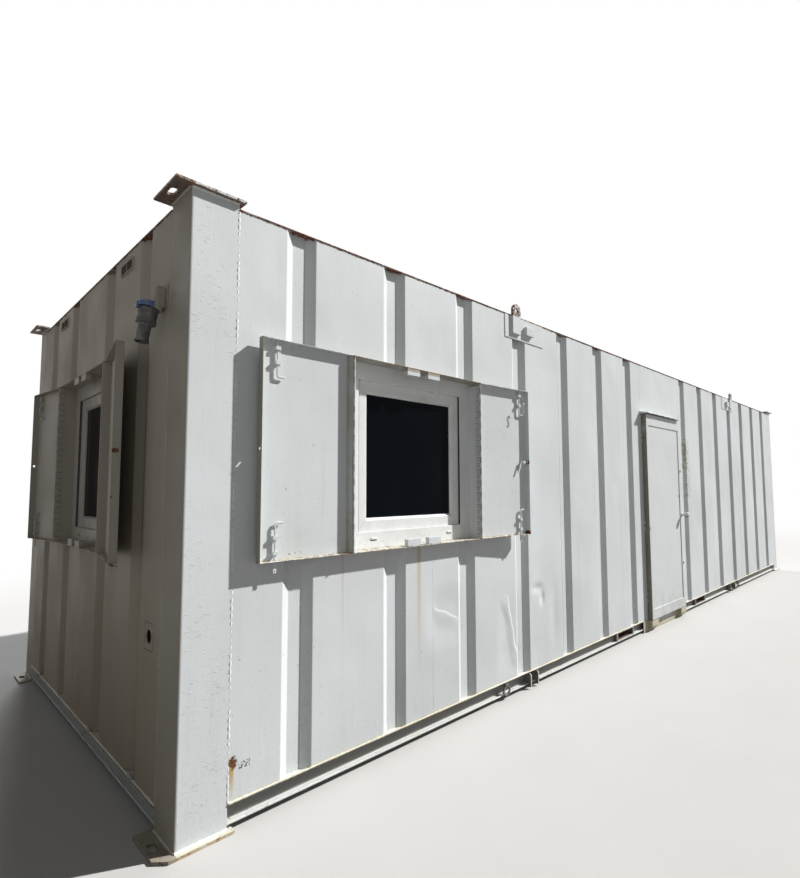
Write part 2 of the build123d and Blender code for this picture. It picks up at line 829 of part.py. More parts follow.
# Vents, inlet and connector on the near end wall
def vent():
    """Louvred vent on the wall face, two columns of slots that rise inwards."""
    half = vent_width / 2
    low = vent_top - vent_height
    body = block((-half, half), (-vent_reach, 0), (low, vent_top))
    pitch = (vent_height - 2 * vent_border) / vent_slats
    slots = []
    for run in ((-half + vent_border, -vent_border / 2), (vent_border / 2, half - vent_border)):
        for index in range(vent_slats):
            z = low + vent_border + index * pitch
            section = [
                (-vent_reach, z),
                (0, z + pitch / 2),
                (0, z + pitch),
                (-vent_reach, z + pitch / 2),
            ]
            slots.append(lengthwise(section, *run))
    return body - slots


vents = [to_near_end(Pos(cabin_width - y, 0, 0) * vent()) for y in vent_positions]
nodes["end_vents"] = Compound(children=vents)

inlet_run = (inlet_y - inlet_plate_width / 2, inlet_y + inlet_plate_width / 2)
inlet_rise = (inlet_height - inlet_plate_height / 2, inlet_height + inlet_plate_height / 2)
housing = block(
    (-inlet_housing_reach, 0),
    (inlet_y - inlet_housing_width / 2, inlet_y + inlet_housing_width / 2),
    (inlet_rise[0], inlet_rise[1] - inlet_bevel),
)
outer_edges = housing.faces().sort_by(Axis.X)[0].edges()
housing = chamfer(outer_edges, inlet_bevel)
collar_place = Pos(-collar_setback, inlet_y, inlet_rise[0] + inlet_bevel) * Rot(0, 180 + inlet_lean, 0)
inlet = block((-inlet_plate_thickness, 0), inlet_run, inlet_rise) + housing
inlet += collar_place * turned([(collar_height, collar_radius, collar_radius)])
nodes["power_inlet"] = inlet

shoulder_slope = shoulder_radius - connector_radius
connector = turned(
    [
        (connector_body, connector_radius, connector_radius),
        (shoulder_slope, connector_radius, shoulder_radius),
        (shoulder_height - shoulder_slope, shoulder_radius, shoulder_radius),
        (grip_length - grip_flare_length, grip_radius, grip_radius),
        (grip_flare_length, grip_radius, grip_flare),
    ]
)
nodes["inlet_connector"] = collar_place * Pos(0, 0, collar_height) * connector

os.makedirs("parts", exist_ok=True)
for name, piece in nodes.items():
    piece.label = name
    export_step(piece, "parts/" + name + ".step")
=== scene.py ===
import math

import bmesh
import bpy
from mathutils import Matrix, Vector


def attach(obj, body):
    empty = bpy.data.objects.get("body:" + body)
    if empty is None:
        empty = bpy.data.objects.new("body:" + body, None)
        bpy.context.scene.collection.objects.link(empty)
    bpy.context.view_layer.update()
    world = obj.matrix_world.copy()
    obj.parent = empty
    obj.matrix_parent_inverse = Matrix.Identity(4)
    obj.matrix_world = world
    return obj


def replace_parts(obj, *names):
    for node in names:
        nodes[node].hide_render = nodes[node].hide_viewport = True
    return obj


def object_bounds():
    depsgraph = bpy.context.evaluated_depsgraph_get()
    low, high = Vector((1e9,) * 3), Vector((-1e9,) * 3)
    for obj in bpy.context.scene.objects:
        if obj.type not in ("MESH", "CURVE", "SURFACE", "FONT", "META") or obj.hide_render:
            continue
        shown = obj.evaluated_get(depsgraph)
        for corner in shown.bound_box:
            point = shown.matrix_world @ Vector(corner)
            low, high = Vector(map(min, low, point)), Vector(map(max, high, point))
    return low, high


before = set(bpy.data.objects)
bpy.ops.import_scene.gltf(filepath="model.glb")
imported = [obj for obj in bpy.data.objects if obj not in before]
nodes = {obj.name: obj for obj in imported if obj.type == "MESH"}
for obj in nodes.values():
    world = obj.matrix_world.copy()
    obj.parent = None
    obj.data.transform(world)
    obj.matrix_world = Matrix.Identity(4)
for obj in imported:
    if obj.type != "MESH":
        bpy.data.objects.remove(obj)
cad_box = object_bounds()
scene = bpy.context.scene


# Photographer's place, low and close off the left end of the front wall, looking along it.
# The lens and its small shift give the picture its steep perspective.
camera_data = bpy.data.cameras.new("photo_camera")
camera_data.sensor_width = 36
camera_data.sensor_fit = "AUTO"
camera_data.lens = 21.852
camera_data.shift_x = -0.0515
camera_data.shift_y = 0.0134
camera_data.clip_start = 0.05
camera_data.clip_end = 400
camera = bpy.data.objects.new("photo_camera", camera_data)
scene.collection.objects.link(camera)
scene.camera = camera

heading = 0.8125
tilt = 0.0728
lean = -0.0078
forward = Vector(
    (math.sin(heading) * math.cos(tilt), math.cos(heading) * math.cos(tilt), math.sin(tilt))
)
level = Vector((math.cos(heading), -math.sin(heading), 0))
upright = level.cross(forward)
right = level * math.cos(lean) + upright * math.sin(lean)
above = upright * math.cos(lean) - level * math.sin(lean)
turn = Matrix((right, above, -forward)).transposed()
camera.matrix_world = Matrix.Translation((-0.8363, -2.2429, 1.4024)) @ turn.to_4x4()


# Studio: a key lamp high on the right in front, a soft weak one behind the cabin, and an even
# fill from a surround that is itself seen as white.
scene.view_settings.view_transform = "Standard"
for name, energy, spread, tint, toward in (
    ("key_lamp", 5.65, 1.4, (1.0, 0.985, 0.965), (1.8, -1.0, 1.7)),
    ("back_lamp", 1.5, 14, (0.97, 0.98, 1.0), (0.3, 1.0, 0.8)),
    ("end_lamp", 0.24, 60, (1.0, 0.98, 0.95), (-1.0, -1.4, 0.3)),
):
    lamp_data = bpy.data.lights.new(name, "SUN")
    lamp_data.energy = energy
    lamp_data.angle = math.radians(spread)
    lamp_data.color = tint
    lamp = bpy.data.objects.new(name, lamp_data)
    lamp.rotation_mode = "QUATERNION"
    lamp.rotation_quaternion = Vector(toward).to_track_quat("Z", "Y")
    scene.collection.objects.link(lamp)

world = bpy.data.worlds.new("studio")
world.use_nodes = True
scene.world = world
sky = world.node_tree
sky.nodes.clear()


def seen_rays(tree):
    """1 for the rays that show the background: straight, mirrored and through glass."""
    ray = tree.nodes.new("ShaderNodeLightPath")
    seen = ray.outputs["Is Camera Ray"]
    for other in ("Is Glossy Ray", "Is Transmission Ray"):
        both = tree.nodes.new("ShaderNodeMath")
        both.operation = "MAXIMUM"
        tree.links.new(seen, both.inputs[0])
        tree.links.new(ray.outputs[other], both.inputs[1])
        seen = both.outputs[0]
    return seen


fill = sky.nodes.new("ShaderNodeBackground")
fill.inputs["Color"].default_value = (0.95, 0.97, 1.0, 1)
fill.inputs["Strength"].default_value = 0.11
white = sky.nodes.new("ShaderNodeBackground")
white.inputs["Color"].default_value = (1, 1, 1, 1)
white.inputs["Strength"].default_value = 1
shown = sky.nodes.new("ShaderNodeMixShader")
sky.links.new(seen_rays(sky), shown.inputs[0])
sky.links.new(fill.outputs[0], shown.inputs[1])
sky.links.new(white.outputs[0], shown.inputs[2])
sky.links.new(shown.outputs[0], sky.nodes.new("ShaderNodeOutputWorld").inputs["Surface"])


class Finish:
    """A finish under way: a node tree with short calls for the patterns that it mixes."""

    def __init__(self, name):
        self.material = bpy.data.materials.new(name)
        self.material.use_nodes = True
        self.tree = self.material.node_tree
        self.shader = self.tree.nodes["Principled BSDF"]
        self.place = self.tree.nodes.new("ShaderNodeTexCoord").outputs["Object"]
        parts = self.tree.nodes.new("ShaderNodeSeparateXYZ")
        self.tree.links.new(self.place, parts.inputs[0])
        self.x, self.y, self.z = parts.outputs

    def put(self, kind, given, **settings):
        """A node with its settings, and its inputs given as values or links."""
        node = self.tree.nodes.new(kind)
        for key, value in settings.items():
            setattr(node, key, value)
        for key, value in given.items():
            if isinstance(value, bpy.types.NodeSocket):
                self.tree.links.new(value, node.inputs[key])
            else:
                node.inputs[key].default_value = value
        return node

    def math(self, operation, *values):
        return self.put("ShaderNodeMath", dict(enumerate(values)), operation=operation).outputs[0]

    def plus(self, a, b):
        return self.math("ADD", a, b)

    def scaled(self, value, by, offset):
        """The value times one number, plus another."""
        return self.math("MULTIPLY_ADD", value, by, offset)

    def times(self, *masks):
        """The product of several masks."""
        product = masks[0]
        for mask in masks[1:]:
            product = self.math("MULTIPLY", product, mask)
        return product

    def most(self, *masks):
        """The strongest of several masks."""
        strongest = masks[0]
        for mask in masks[1:]:
            strongest = self.math("MAXIMUM", strongest, mask)
        return strongest

    def moved(self, stretch=(1, 1, 1), shift=(0, 0, 0)):
        """The place, stretched and shifted, for a pattern."""
        given = {"Vector": self.place, "Scale": stretch, "Location": shift}
        return self.put("ShaderNodeMapping", given).outputs[0]

    def noise(self, size, stretch=(1, 1, 1), shift=(0, 0, 0), detail=3, rough=0.5):
        """Cloudy pattern, 0 to 1, with lumps of about this size in metres."""
        given = {
            "Vector": self.moved(stretch, shift),
            "Scale": 1 / size,
            "Detail": detail,
            "Roughness": rough,
        }
        return self.put("ShaderNodeTexNoise", given).outputs[0]

    def ramp(self, value, low, high, to_low=0, to_high=1):
        """Smooth step of a value from low to high."""
        given = {"Value": value, "From Min": low, "From Max": high, "To Min": to_low, "To Max": to_high}
        return self.put("ShaderNodeMapRange", given, interpolation_type="SMOOTHSTEP").outputs[0]

    def fall(self, value, low, high):
        """Smooth step down, from 1 at low to 0 at high."""
        return self.ramp(value, low, high, 1, 0)

    def cloud(self, size, low, high, to_low=0, to_high=1, detail=5, **shape):
        """Smooth step of a cloudy pattern."""
        return self.ramp(self.noise(size, detail=detail, **shape), low, high, to_low, to_high)

    def lumps(self, size, **shape):
        """The broken pattern of rust and flaking paint."""
        return self.noise(size, detail=6, rough=0.7, **shape)

    def mix(self, share, a, b):
        """One colour over another, each a link or (red, green, blue)."""
        given = {0: share}
        for key, colour in ((6, a), (7, b)):
            given[key] = (*colour, 1) if isinstance(colour, tuple) else colour
        return self.put("ShaderNodeMix", given, data_type="RGBA").outputs[2]

    def band(self, value, low, high, soft):
        """1 between low and high, fading over soft."""
        return self.times(self.ramp(value, low - soft, low), self.fall(value, high, high + soft))

    def patch(self, centre, reach, ragged=0.5, size=0.03):
        """A ragged patch round a point. reach is its half size along X, Y and Z, 0 for no limit."""
        total = None
        for axis, middle, half in zip((self.x, self.y, self.z), centre, reach):
            if half:
                away = self.scaled(axis, 1 / half, -middle / half)
                square = self.times(away, away)
                total = square if total is None else self.plus(total, square)
        edge = self.scaled(self.noise(size, detail=5), 4 * ragged, -2 * ragged)
        return self.fall(self.plus(total, edge), 0.3, 1.2)

    def run(self, x, z, soft=0.004):
        """A mark between (low, high) pairs along X and Z, whatever its Y."""
        return self.times(self.band(self.x, *x, soft), self.band(self.z, *z, soft))

    def bump(self, height, depth, under=None):
        """Relief of this depth in metres, laid over another."""
        given = {"Height": height, "Strength": 1.0, "Distance": depth}
        if under is not None:
            given["Normal"] = under
        return self.put("ShaderNodeBump", given).outputs[0]

    def set(self, **given):
        """The shader's own sockets, by name with _ for a space."""
        for key, value in given.items():
            socket = self.shader.inputs[key.replace("_", " ")]
            if isinstance(value, bpy.types.NodeSocket):
                self.tree.links.new(value, socket)
            else:
                socket.default_value = value
        return self.material


# Studio floor: one pale disc that takes the cabin's shadow and fades out to the white
# surround a few metres off. Only what sees it directly gets its pale colour, so that it
# throws no more light up on the cabin than bare ground would.
ground = bmesh.new()
bmesh.ops.create_circle(ground, cap_ends=True, segments=64, radius=60)
ground_mesh = bpy.data.meshes.new("studio_floor")
ground.to_mesh(ground_mesh)
ground.free()
floor_object = bpy.data.objects.new("studio_floor", ground_mesh)
scene.collection.objects.link(floor_object)

f = Finish("studio_floor")
seen = seen_rays(f.tree)
away = f.put(
    "ShaderNodeVectorMath", {0: f.moved((0.5, 1, 1), (-2.4, -1.5, 0))}, operation="LENGTH"
).outputs["Value"]
pale = f.mix(f.noise(0.5, detail=5), (0.53, 0.525, 0.515), (0.57, 0.565, 0.555))
f.set(Base_Color=f.mix(seen, (0.2, 0.195, 0.19), pale), Roughness=0.9, Specular_IOR_Level=0.15)
glow = f.put("ShaderNodeEmission", {"Color": (1, 1, 1, 1), "Strength": 1})
faded = f.times(f.ramp(away, 3.2, 9), seen)
fade = f.put("ShaderNodeMixShader", {0: faded, 1: f.shader.outputs[0], 2: glow.outputs[0]})
f.tree.links.new(fade.outputs[0], f.tree.nodes["Material Output"].inputs["Surface"])
floor_object.data.materials.append(f.material)


# Corner posts: folded steel channels, brushed with off-white site paint over older coats,
# with a flame-cut plate welded on at each end. The plates' edges and slots have rusted.
OFF_WHITE = (0.69, 0.727, 0.742)
CHALK = (0.62, 0.65, 0.655)
GRIME = (0.3, 0.27, 0.225)
CREAM = (0.62, 0.565, 0.4)
YELLOW_RUST = (0.5, 0.33, 0.12)
RUST = (0.2, 0.07, 0.025)
RUST_BRIGHT = (0.42, 0.17, 0.05)
RUST_DARK = (0.05, 0.03, 0.022)
SHADE_DUST = (0.3, 0.26, 0.205)


def site_paint(
    name, base=OFF_WHITE, worn=CHALK, grime=0.3, low_dirt=1, gloss=0.22, rust=None, stains=(), reliefs=()
):
    """Weathered paint on steel. rust gives one mask; stains are (mask, colour, strength) and
    reliefs (height, depth in metres), where each mask or height is called with the finish."""
    f = Finish(name)
    colour = f.mix(f.cloud(0.9, 0.32, 0.72, detail=4), base, worn)
    stroke = f.noise(0.006, stretch=(1, 1, 0.05), detail=4, rough=0.6)
    colour = f.mix(f.ramp(stroke, 0.35, 0.8, 0, 0.3), colour, worn)
    mottle = f.cloud(0.05, 0.52, 0.8, 0, 0.35 * grime, shift=(3, 1, 2), detail=6, rough=0.65)
    colour = f.mix(mottle, colour, GRIME)
    streak = f.noise(0.03, stretch=(1, 1, 0.04), shift=(5, 5, 5), detail=5, rough=0.65)
    colour = f.mix(f.times(f.ramp(streak, 0.54, 0.8), 0.35 * grime), colour, GRIME)
    splash = f.fall(f.z, 0.08, 0.75)
    spatter = f.cloud(0.018, 0.45, 0.7, detail=6, rough=0.75)
    colour = f.mix(f.times(splash, spatter, 0.5 * grime * low_dirt), colour, GRIME)
    speck = f.cloud(0.009, 0.745, 0.775, detail=1)
    colour = f.mix(f.times(speck, 0.55), colour, RUST_DARK)
    drip = f.cloud(0.09, 0.58, 0.78, stretch=(1, 1, 0.07), shift=(9, 2, 4), detail=4)
    colour = f.mix(f.times(drip, 0.45 * grime), colour, (0.5, 0.44, 0.3))
    chip = f.times(
        f.cloud(0.022, 0.7, 0.715, shift=(6, 6, 1), detail=4, rough=0.65),
        f.cloud(0.7, 0.5, 0.6, shift=(1, 8, 3), detail=1),
    )
    colour = f.mix(f.times(chip, 0.8), colour, RUST_DARK)
    for make, tint, strength in stains:
        colour = f.mix(f.times(make(f), strength), colour, tint)
    roughness = f.cloud(0.3, 0.3, 0.7, 0.44, 0.6, detail=4)
    normal = f.bump(stroke, 0.00035)
    normal = f.bump(f.noise(0.0035, detail=2), 0.00018, normal)
    normal = f.bump(f.noise(0.4, detail=1), 0.007, normal)
    for make, depth in reliefs:
        normal = f.bump(make(f), depth, normal)
    if rust:
        mask = rust(f)
        flake = f.noise(0.007, detail=6, rough=0.75)
        rusty = f.mix(f.ramp(flake, 0.35, 0.65), RUST_DARK, RUST)
        rusty = f.mix(f.cloud(0.025, 0.52, 0.75), rusty, RUST_BRIGHT)
        colour = f.mix(mask, colour, rusty)
        roughness = f.scaled(mask, 0.35, roughness)
        normal = f.bump(f.times(mask, flake), 0.001, normal)
    return f.set(Base_Color=colour, Roughness=roughness, Normal=normal, Specular_IOR_Level=gloss)


def coat(node, material):
    """Gives a CAD piece its finish."""
    slots = nodes[node].data.materials
    slots.clear()
    slots.append(material)


def placed(name, data, material, body):
    """A mesh as a piece that rides on a body."""
    data.materials.clear()
    data.materials.append(material)
    piece = bpy.data.objects.new(name, data)
    scene.collection.objects.link(piece)
    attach(piece, body)
    return piece


def made(name, mesh, material, body="cabin", smooth=False):
    """Turns a finished bmesh into a piece."""
    data = bpy.data.meshes.new(name)
    mesh.to_mesh(data)
    mesh.free()
    if smooth:
        data.shade_smooth()
        data.set_sharp_from_angle(angle=math.radians(38))
    return placed(name, data, material, body)


def rounded(mesh, width, segments, wanted):
    """Rounds the edges for which wanted(edge, its signed angle in degrees) holds."""
    chosen = []
    for edge in mesh.edges:
        if len(edge.link_faces) == 2 and wanted(edge, math.degrees(edge.calc_face_angle_signed())):
            chosen.append(edge)
    bmesh.ops.bevel(
        mesh,
        geom=chosen,
        offset=width,
        offset_type="OFFSET",
        affect="EDGES",
        segments=segments,
        profile=0.5,
        clamp_overlap=True,
        material=-1,
    )


def sharp(over, longer=0):
    """Picks for rounded the outer edges sharper than an angle and longer than a length."""
    return lambda edge, angle: angle > over and edge.calc_length() > longer


def merged(node):
    """A CAD piece's mesh as one closed skin of flat faces, to be finished further."""
    mesh = bmesh.new()
    mesh.from_mesh(nodes[node].data)
    bmesh.ops.remove_doubles(mesh, verts=mesh.verts, dist=0.00005)
    bmesh.ops.dissolve_limit(mesh, angle_limit=math.radians(0.5), verts=mesh.verts, edges=mesh.edges)
    return mesh


def rod(name, radius, fineness):
    """A line with a round section, to be given its route."""
    line = bpy.data.curves.new(name, "CURVE")
    line.dimensions = "3D"
    line.bevel_depth = radius
    line.bevel_resolution = fineness
    line.use_fill_caps = True
    return line


def drawn(name, line, material, body="cabin"):
    """Turns a finished line into a piece."""
    holder = bpy.data.objects.new(name + "_line", line)
    data = bpy.data.meshes.new_from_object(holder)
    bpy.data.objects.remove(holder)
    data.name = name
    return placed(name, data, material, body)


def beads(name, runs, radius, material, step=0.012):
    """Weld or mastic beads along straight runs, rippled as they are laid by hand."""
    line = rod(name, radius, 1)
    for number, (start, end) in enumerate(runs):
        start = Vector(start)
        end = Vector(end)
        count = max(3, round((end - start).length / step))
        route = line.splines.new("POLY")
        route.points.add(count)
        for i, point in enumerate(route.points):
            point.co = (*start.lerp(end, i / count), 1)
            point.radius = 0.86 + 0.2 * math.sin(2.3 * i + number) + 0.12 * math.sin(0.31 * i)
    drawn(name, line, material)


def plate_rust(f):
    ragged = f.lumps(0.018)
    head = f.times(f.ramp(f.z, 2.682, 2.685), f.ramp(ragged, 0.48, 0.6))
    foot = f.times(f.fall(f.z, 0.012, 0.0145), f.ramp(ragged, 0.56, 0.64))
    low = f.times(f.fall(f.z, 0, 0.09), f.ramp(ragged, 0.63, 0.68))
    return f.most(head, foot, low)


def plate_shade(f):
    """Painted shade, brown-grey, on the underside and slot of each head plate."""
    return f.times(f.fall(f.z, 2.685, 2.6855), f.ramp(f.z, 2.6825, 2.6835))


def foot_cream(f):
    return f.times(f.fall(f.z, 0.01, 0.03), f.cloud(0.06, 0.3, 0.6))


def foot_yellow(f):
    """Yellow rust along the foot plates' cut edges."""
    return f.times(f.fall(f.z, 0.0125, 0.0135), f.cloud(0.05, 0.35, 0.6))


def foot_flakes(f):
    """Paint flaked off dark round the slot of the near front foot plate."""
    round_slot = f.patch((-0.04, 0.06, 0.014), (0.05, 0.06, 0.012), 0.6, 0.02)
    return f.times(round_slot, f.cloud(0.025, 0.46, 0.52, detail=6, rough=0.75))


def brush_marks(f):
    """Short level strokes where thick paint was worked across the post."""
    stroke = f.noise(0.012, stretch=(0.3, 0.3, 1), shift=(8, 3, 1), detail=5, rough=0.7)
    return f.times(f.ramp(stroke, 0.55, 0.7), f.cloud(0.25, 0.4, 0.65, detail=3))


cabin_width = 3.048
far_x = cad_box[1][0] - 0.073


def far_shade(f):
    """Painted shade: darker paint on the faces that look to the far end, where the key lamp falls full.
    """
    return f.ramp(f.x, far_x - 0.004, far_x - 0.001)


def shade_dust(f):
    """Painted shade, a dull dusty film, on the faces of the cabin's near end."""
    return f.fall(f.x, 0.0005, 0.003)


# Painted shade on the posts: a dull dark film on the near end's faces, darker paint on the far end's
# faces, and brown-grey under the head plates.
post_paint = site_paint(
    "post_paint",
    rust=plate_rust,
    stains=[
        (foot_cream, CREAM, 0.6),
        (foot_yellow, YELLOW_RUST, 0.6),
        (foot_flakes, (0.03, 0.028, 0.024), 0.95),
        (shade_dust, SHADE_DUST, 0.88),
        (far_shade, (0.46, 0.465, 0.455), 0.9),
        (plate_shade, (0.2, 0.16, 0.125), 0.9),
    ],
    reliefs=[(brush_marks, 0.0012)],
    gloss=0.12,
)
for corner in ("near_front", "near_back", "far_front", "far_back"):
    post = merged("corner_post_" + corner)
    rounded(post, 0.008, 3, lambda edge, angle: min(f.calc_area() for f in edge.link_faces) > 0.3)
    rounded(post, 0.0016, 2, sharp(60, 0.06))
    folded = made("post_" + corner, post, post_paint)
    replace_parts(folded, "corner_post_" + corner)

front_edge = 0.207
end_edge = 0.216
set_in = 0.0055
wall_foot = 0.114
wall_top = 2.655
plate_top = 0.014
plate_under = 2.684
mastic_paint = site_paint(
    "mastic", base=(0.86, 0.87, 0.86), worn=OFF_WHITE, stains=[(shade_dust, SHADE_DUST, 0.7)]
)
seams = []
for x, sign in ((0, 1), (far_x, -1)):
    for y, inward in ((0, 1), (cabin_width, -1)):
        at_front = x + sign * front_edge
        at_end = y + inward * end_edge
        for place in ((at_front, y + inward * set_in), (x + sign * set_in, at_end)):
            seams.append(((*place, wall_foot), (*place, wall_top)))
        for z in (plate_top, plate_under):
            seams.append(((x, y, z), (at_front, y, z)))
            seams.append(((x, y, z), (x, at_end, z)))
beads("post_seams", seams, 0.0075, mastic_paint)


# Base: folded channels between the posts, open outwards, their lips in the wall's face.
# The lips are painted with the walls, and the web behind them is painted dark grey
# as the shade under the upper lip.
def web_shade(f):
    """Painted shade on the web and the inside of the lips, under the upper lip."""
    front = f.times(f.ramp(f.y, 0.02, 0.034), f.fall(f.y, cabin_width - 0.034, cabin_width - 0.02))
    sides = f.times(f.ramp(f.x, 0.02, 0.034), f.fall(f.x, far_x - 0.034, far_x - 0.02))
    return f.times(front, sides, f.band(f.z, 0.037, 0.1065, 0.002))


def lower_lip(f):
    return f.times(f.fall(f.z, 0.036, 0.039), f.cloud(0.07, 0.3, 0.7, 0.35, 1))


def rail_rust(f):
    lump = f.lumps(0.06, stretch=(0.5, 0.5, 1))
    lip = f.times(f.ramp(lump, 0.64, 0.7), f.most(f.fall(f.z, 0.036, 0.04), f.ramp(f.z, 0.104, 0.11)))
    return f.most(lip, f.ramp(lump, 0.7, 0.76))


# Colour of the painted shade on the rails' faces at the near end.
RAIL_SHADE_DUST = (0.3, 0.27, 0.23)
rail_paint = site_paint(
    "rail_paint",
    grime=0.6,
    rust=rail_rust,
    stains=[
        (web_shade, (0.17, 0.165, 0.155), 0.9),
        (lower_lip, (0.62, 0.6, 0.53), 0.6),
        (shade_dust, RAIL_SHADE_DUST, 0.8),
    ],
)
for side in ("front", "back", "near_end", "far_end"):
    coat("base_rail_" + side, rail_paint)
under_paint = site_paint("under_paint", base=(0.2, 0.19, 0.18), grime=0.9, worn=(0.15, 0.14, 0.13))
coat("floor_joists", under_paint)

# Tabs tacked on the near end rail: short bits of flat bar, a little askew, where the cabin
# was once strapped down on a lorry.
tabs = bmesh.new()
tab_size = (0.008, 0.05, 0.022)
for y in (0.52, 1.22, 2.52):
    centre = Vector((-0.004, y, 0.128))
    tab = bmesh.ops.create_cube(tabs, size=1, matrix=Matrix.Translation(centre))["verts"]
    bmesh.ops.scale(tabs, vec=tab_size, space=Matrix.Translation(-centre), verts=tab)
    bmesh.ops.rotate(tabs, cent=centre, matrix=Matrix.Rotation(0.18, 3, "X"), verts=tab)
rounded(tabs, 0.0015, 2, sharp(50))
made("rail_tabs", tabs, rail_paint)


# Fork pockets: rusty plate tubes right through the base for a lift truck's forks, their
# ends flame cut and ground flush with the rails.
def pocket_rust(f):
    inside = f.times(f.ramp(f.y, 0.003, 0.015), f.fall(f.y, cabin_width - 0.015, cabin_width - 0.003))
    lump = f.lumps(0.05)
    return f.most(f.times(inside, f.ramp(lump, 0.4, 0.6)), f.ramp(lump, 0.58, 0.64))


def pocket_mud_and_shade(f):
    """Painted shade inside the tubes, with dried mud."""
    return f.times(f.ramp(f.y, 0.003, 0.02), f.fall(f.y, cabin_width - 0.02, cabin_width - 0.003))


pocket_paint = site_paint(
    "pocket_paint", grime=0.6, rust=pocket_rust, stains=[(pocket_mud_and_shade, (0.05, 0.042, 0.036), 0.9)]
)
coat("fork_pockets", pocket_paint)


# Floor inside: grey sheet flooring glued down on boards, with a fine fleck that hides dirt,
# scuffed by boots.
f = Finish("floor_board")
scuff = f.noise(0.25, stretch=(0.4, 1, 1), detail=6)
fleck = f.noise(0.004, detail=2)
sheeting = f.mix(f.ramp(scuff, 0.35, 0.7), (0.12, 0.12, 0.125), (0.18, 0.175, 0.17))
floor_sheet = f.set(
    Base_Color=f.mix(f.ramp(fleck, 0.5, 0.6), sheeting, (0.24, 0.24, 0.25)),
    Roughness=f.ramp(scuff, 0.3, 0.7, 0.35, 0.6),
    Normal=f.bump(scuff, 0.0008, f.bump(fleck, 0.0002)),
)
coat("floor", floor_sheet)


# Outer walls: pressed steel sheet with sunk ribs, welded along its edges and painted in
# place. The front has knocks below the window, weld seams and thin rust runs.
def wall_rust(f):
    lump = f.lumps(0.03)
    foot = f.times(f.fall(f.z, 0.112, 0.128), f.ramp(lump, 0.58, 0.64))
    top = f.times(f.ramp(f.z, 2.64, 2.655), f.ramp(lump, 0.5, 0.56))
    pin = f.times(f.cloud(0.014, 0.735, 0.76, detail=3), f.cloud(0.8, 0.52, 0.6, detail=3))
    hole = f.patch((0.226, 0, 0.27), (0.02, 0, 0.03), 0.75, 0.02)
    return f.most(foot, top, pin, hole)


def rust_runs(f):
    """Thin yellow runs that start at the window's floor and at the worn patch at the post."""
    sway = f.scaled(f.noise(0.3, stretch=(0.1, 1, 1)), 0.02, -0.01)
    x = f.plus(f.x, sway)
    under = f.times(f.band(x, 1.3, 1.312, 0.016), f.ramp(f.z, 0.25, 1.05), f.fall(f.z, 1.08, 1.09))
    beside = f.times(f.band(x, 0.775, 0.779, 0.008), f.ramp(f.z, 0.5, 1.05), f.fall(f.z, 1.08, 1.09))
    post = f.times(f.band(f.x, 0.214, 0.226, 0.008), f.ramp(f.z, 0.1, 0.26), f.fall(f.z, 0.27, 0.29))
    return f.most(f.times(under, 0.8), f.times(beside, 0.5), f.times(post, 1.6))


def olive_patch(f):
    """Green overspray right of the door."""
    return f.times(f.run((5.56, 5.66), (1.64, 1.92), 0.04), f.cloud(0.05, 0.38, 0.55))


def black_flecks(f):
    """Paint knocked off down to old black, by the worn hole at the post and beside the door."""
    spatter = f.cloud(0.02, 0.54, 0.58, shift=(2, 0, 5), rough=0.7)
    beside_door = f.times(f.run((5.64, 5.72), (1.3, 1.96), 0.03), spatter)
    lower = f.times(f.run((5.5, 5.58), (1.28, 1.52), 0.03), spatter, 0.8)
    beside_post = f.times(f.run((0.252, 0.3), (0.238, 0.262), 0.004), f.cloud(0.009, 0.5, 0.54, detail=2))
    return f.most(beside_door, lower, beside_post)


def foot_ledge(f):
    return f.times(f.fall(f.z, 0.112, 0.135), f.cloud(0.08, 0.3, 0.7, 0.4, 1))


def knocks(f):
    """Pushed-in places and creases in the front sheet."""
    slant = f.scaled(f.z, 0.22, f.plus(f.x, -2.285))
    sway = f.scaled(f.noise(0.15, shift=(4, 4, 4)), 0.06, -0.03)
    slant = f.plus(slant, sway)
    crease = f.times(
        f.ramp(slant, -0.09, 0), f.fall(slant, 0.001, 0.012), f.band(f.z, 0.25, 0.6, 0.1)
    )
    cross = f.plus(f.scaled(f.x, 0.5, f.plus(f.z, -1.42)), sway)
    fold = f.times(f.ramp(cross, -0.1, 0), f.fall(cross, 0.001, 0.02), f.band(f.x, 1.46, 1.6, 0.06))
    low = f.times(f.band(f.x, 2.12, 2.26, 0.12), f.band(f.z, 0.3, 0.5, 0.2))
    high = f.times(f.band(f.x, 1.46, 1.6, 0.12), f.band(f.z, 0.6, 0.7, 0.16))
    pushed = f.times(f.plus(low, high), -0.6)
    return f.plus(pushed, f.scaled(crease, 0.6, f.times(fold, 0.3)))


def hollow(f, centre, reach):
    """A smooth pushed-in place in the front sheet, by its centre and spread along X and Z."""
    across = f.scaled(f.x, 1 / reach[0], -centre[0] / reach[0])
    up = f.scaled(f.z, 1 / reach[1], -centre[1] / reach[1])
    away = f.plus(f.times(across, across), f.times(up, up))
    return f.math("EXPONENT", f.times(away, -1))


def dings(f):
    """Shallow hollows right of the crease, where something leant on the wall."""
    knock = f.plus(hollow(f, (2.5, 0.68), (0.06, 0.03)), hollow(f, (2.56, 0.6), (0.03, 0.05)))
    return f.times(f.scaled(hollow(f, (2.72, 0.45), (0.05, 0.2)), 0.5, knock), -0.5)


def waves(f):
    """The slow buckling of thin sheet between its welds."""
    return f.noise(0.7, stretch=(1, 1, 0.6), shift=(2, 2, 2), detail=2)


front_marks = [
    (foot_ledge, CREAM, 0.55),
    (rust_runs, YELLOW_RUST, 0.62),
    (olive_patch, (0.38, 0.38, 0.16), 0.6),
    (black_flecks, (0.06, 0.055, 0.05), 0.85),
]
wall_paint = site_paint(
    "wall_paint",
    grime=0.28,
    rust=wall_rust,
    stains=front_marks,
    reliefs=[(knocks, 0.01), (dings, 0.016), (waves, 0.02)],
)
back_paint = site_paint(
    "back_paint", grime=0.5, rust=wall_rust, stains=[(foot_ledge, CREAM, 0.5)], reliefs=[(waves, 0.02)]
)
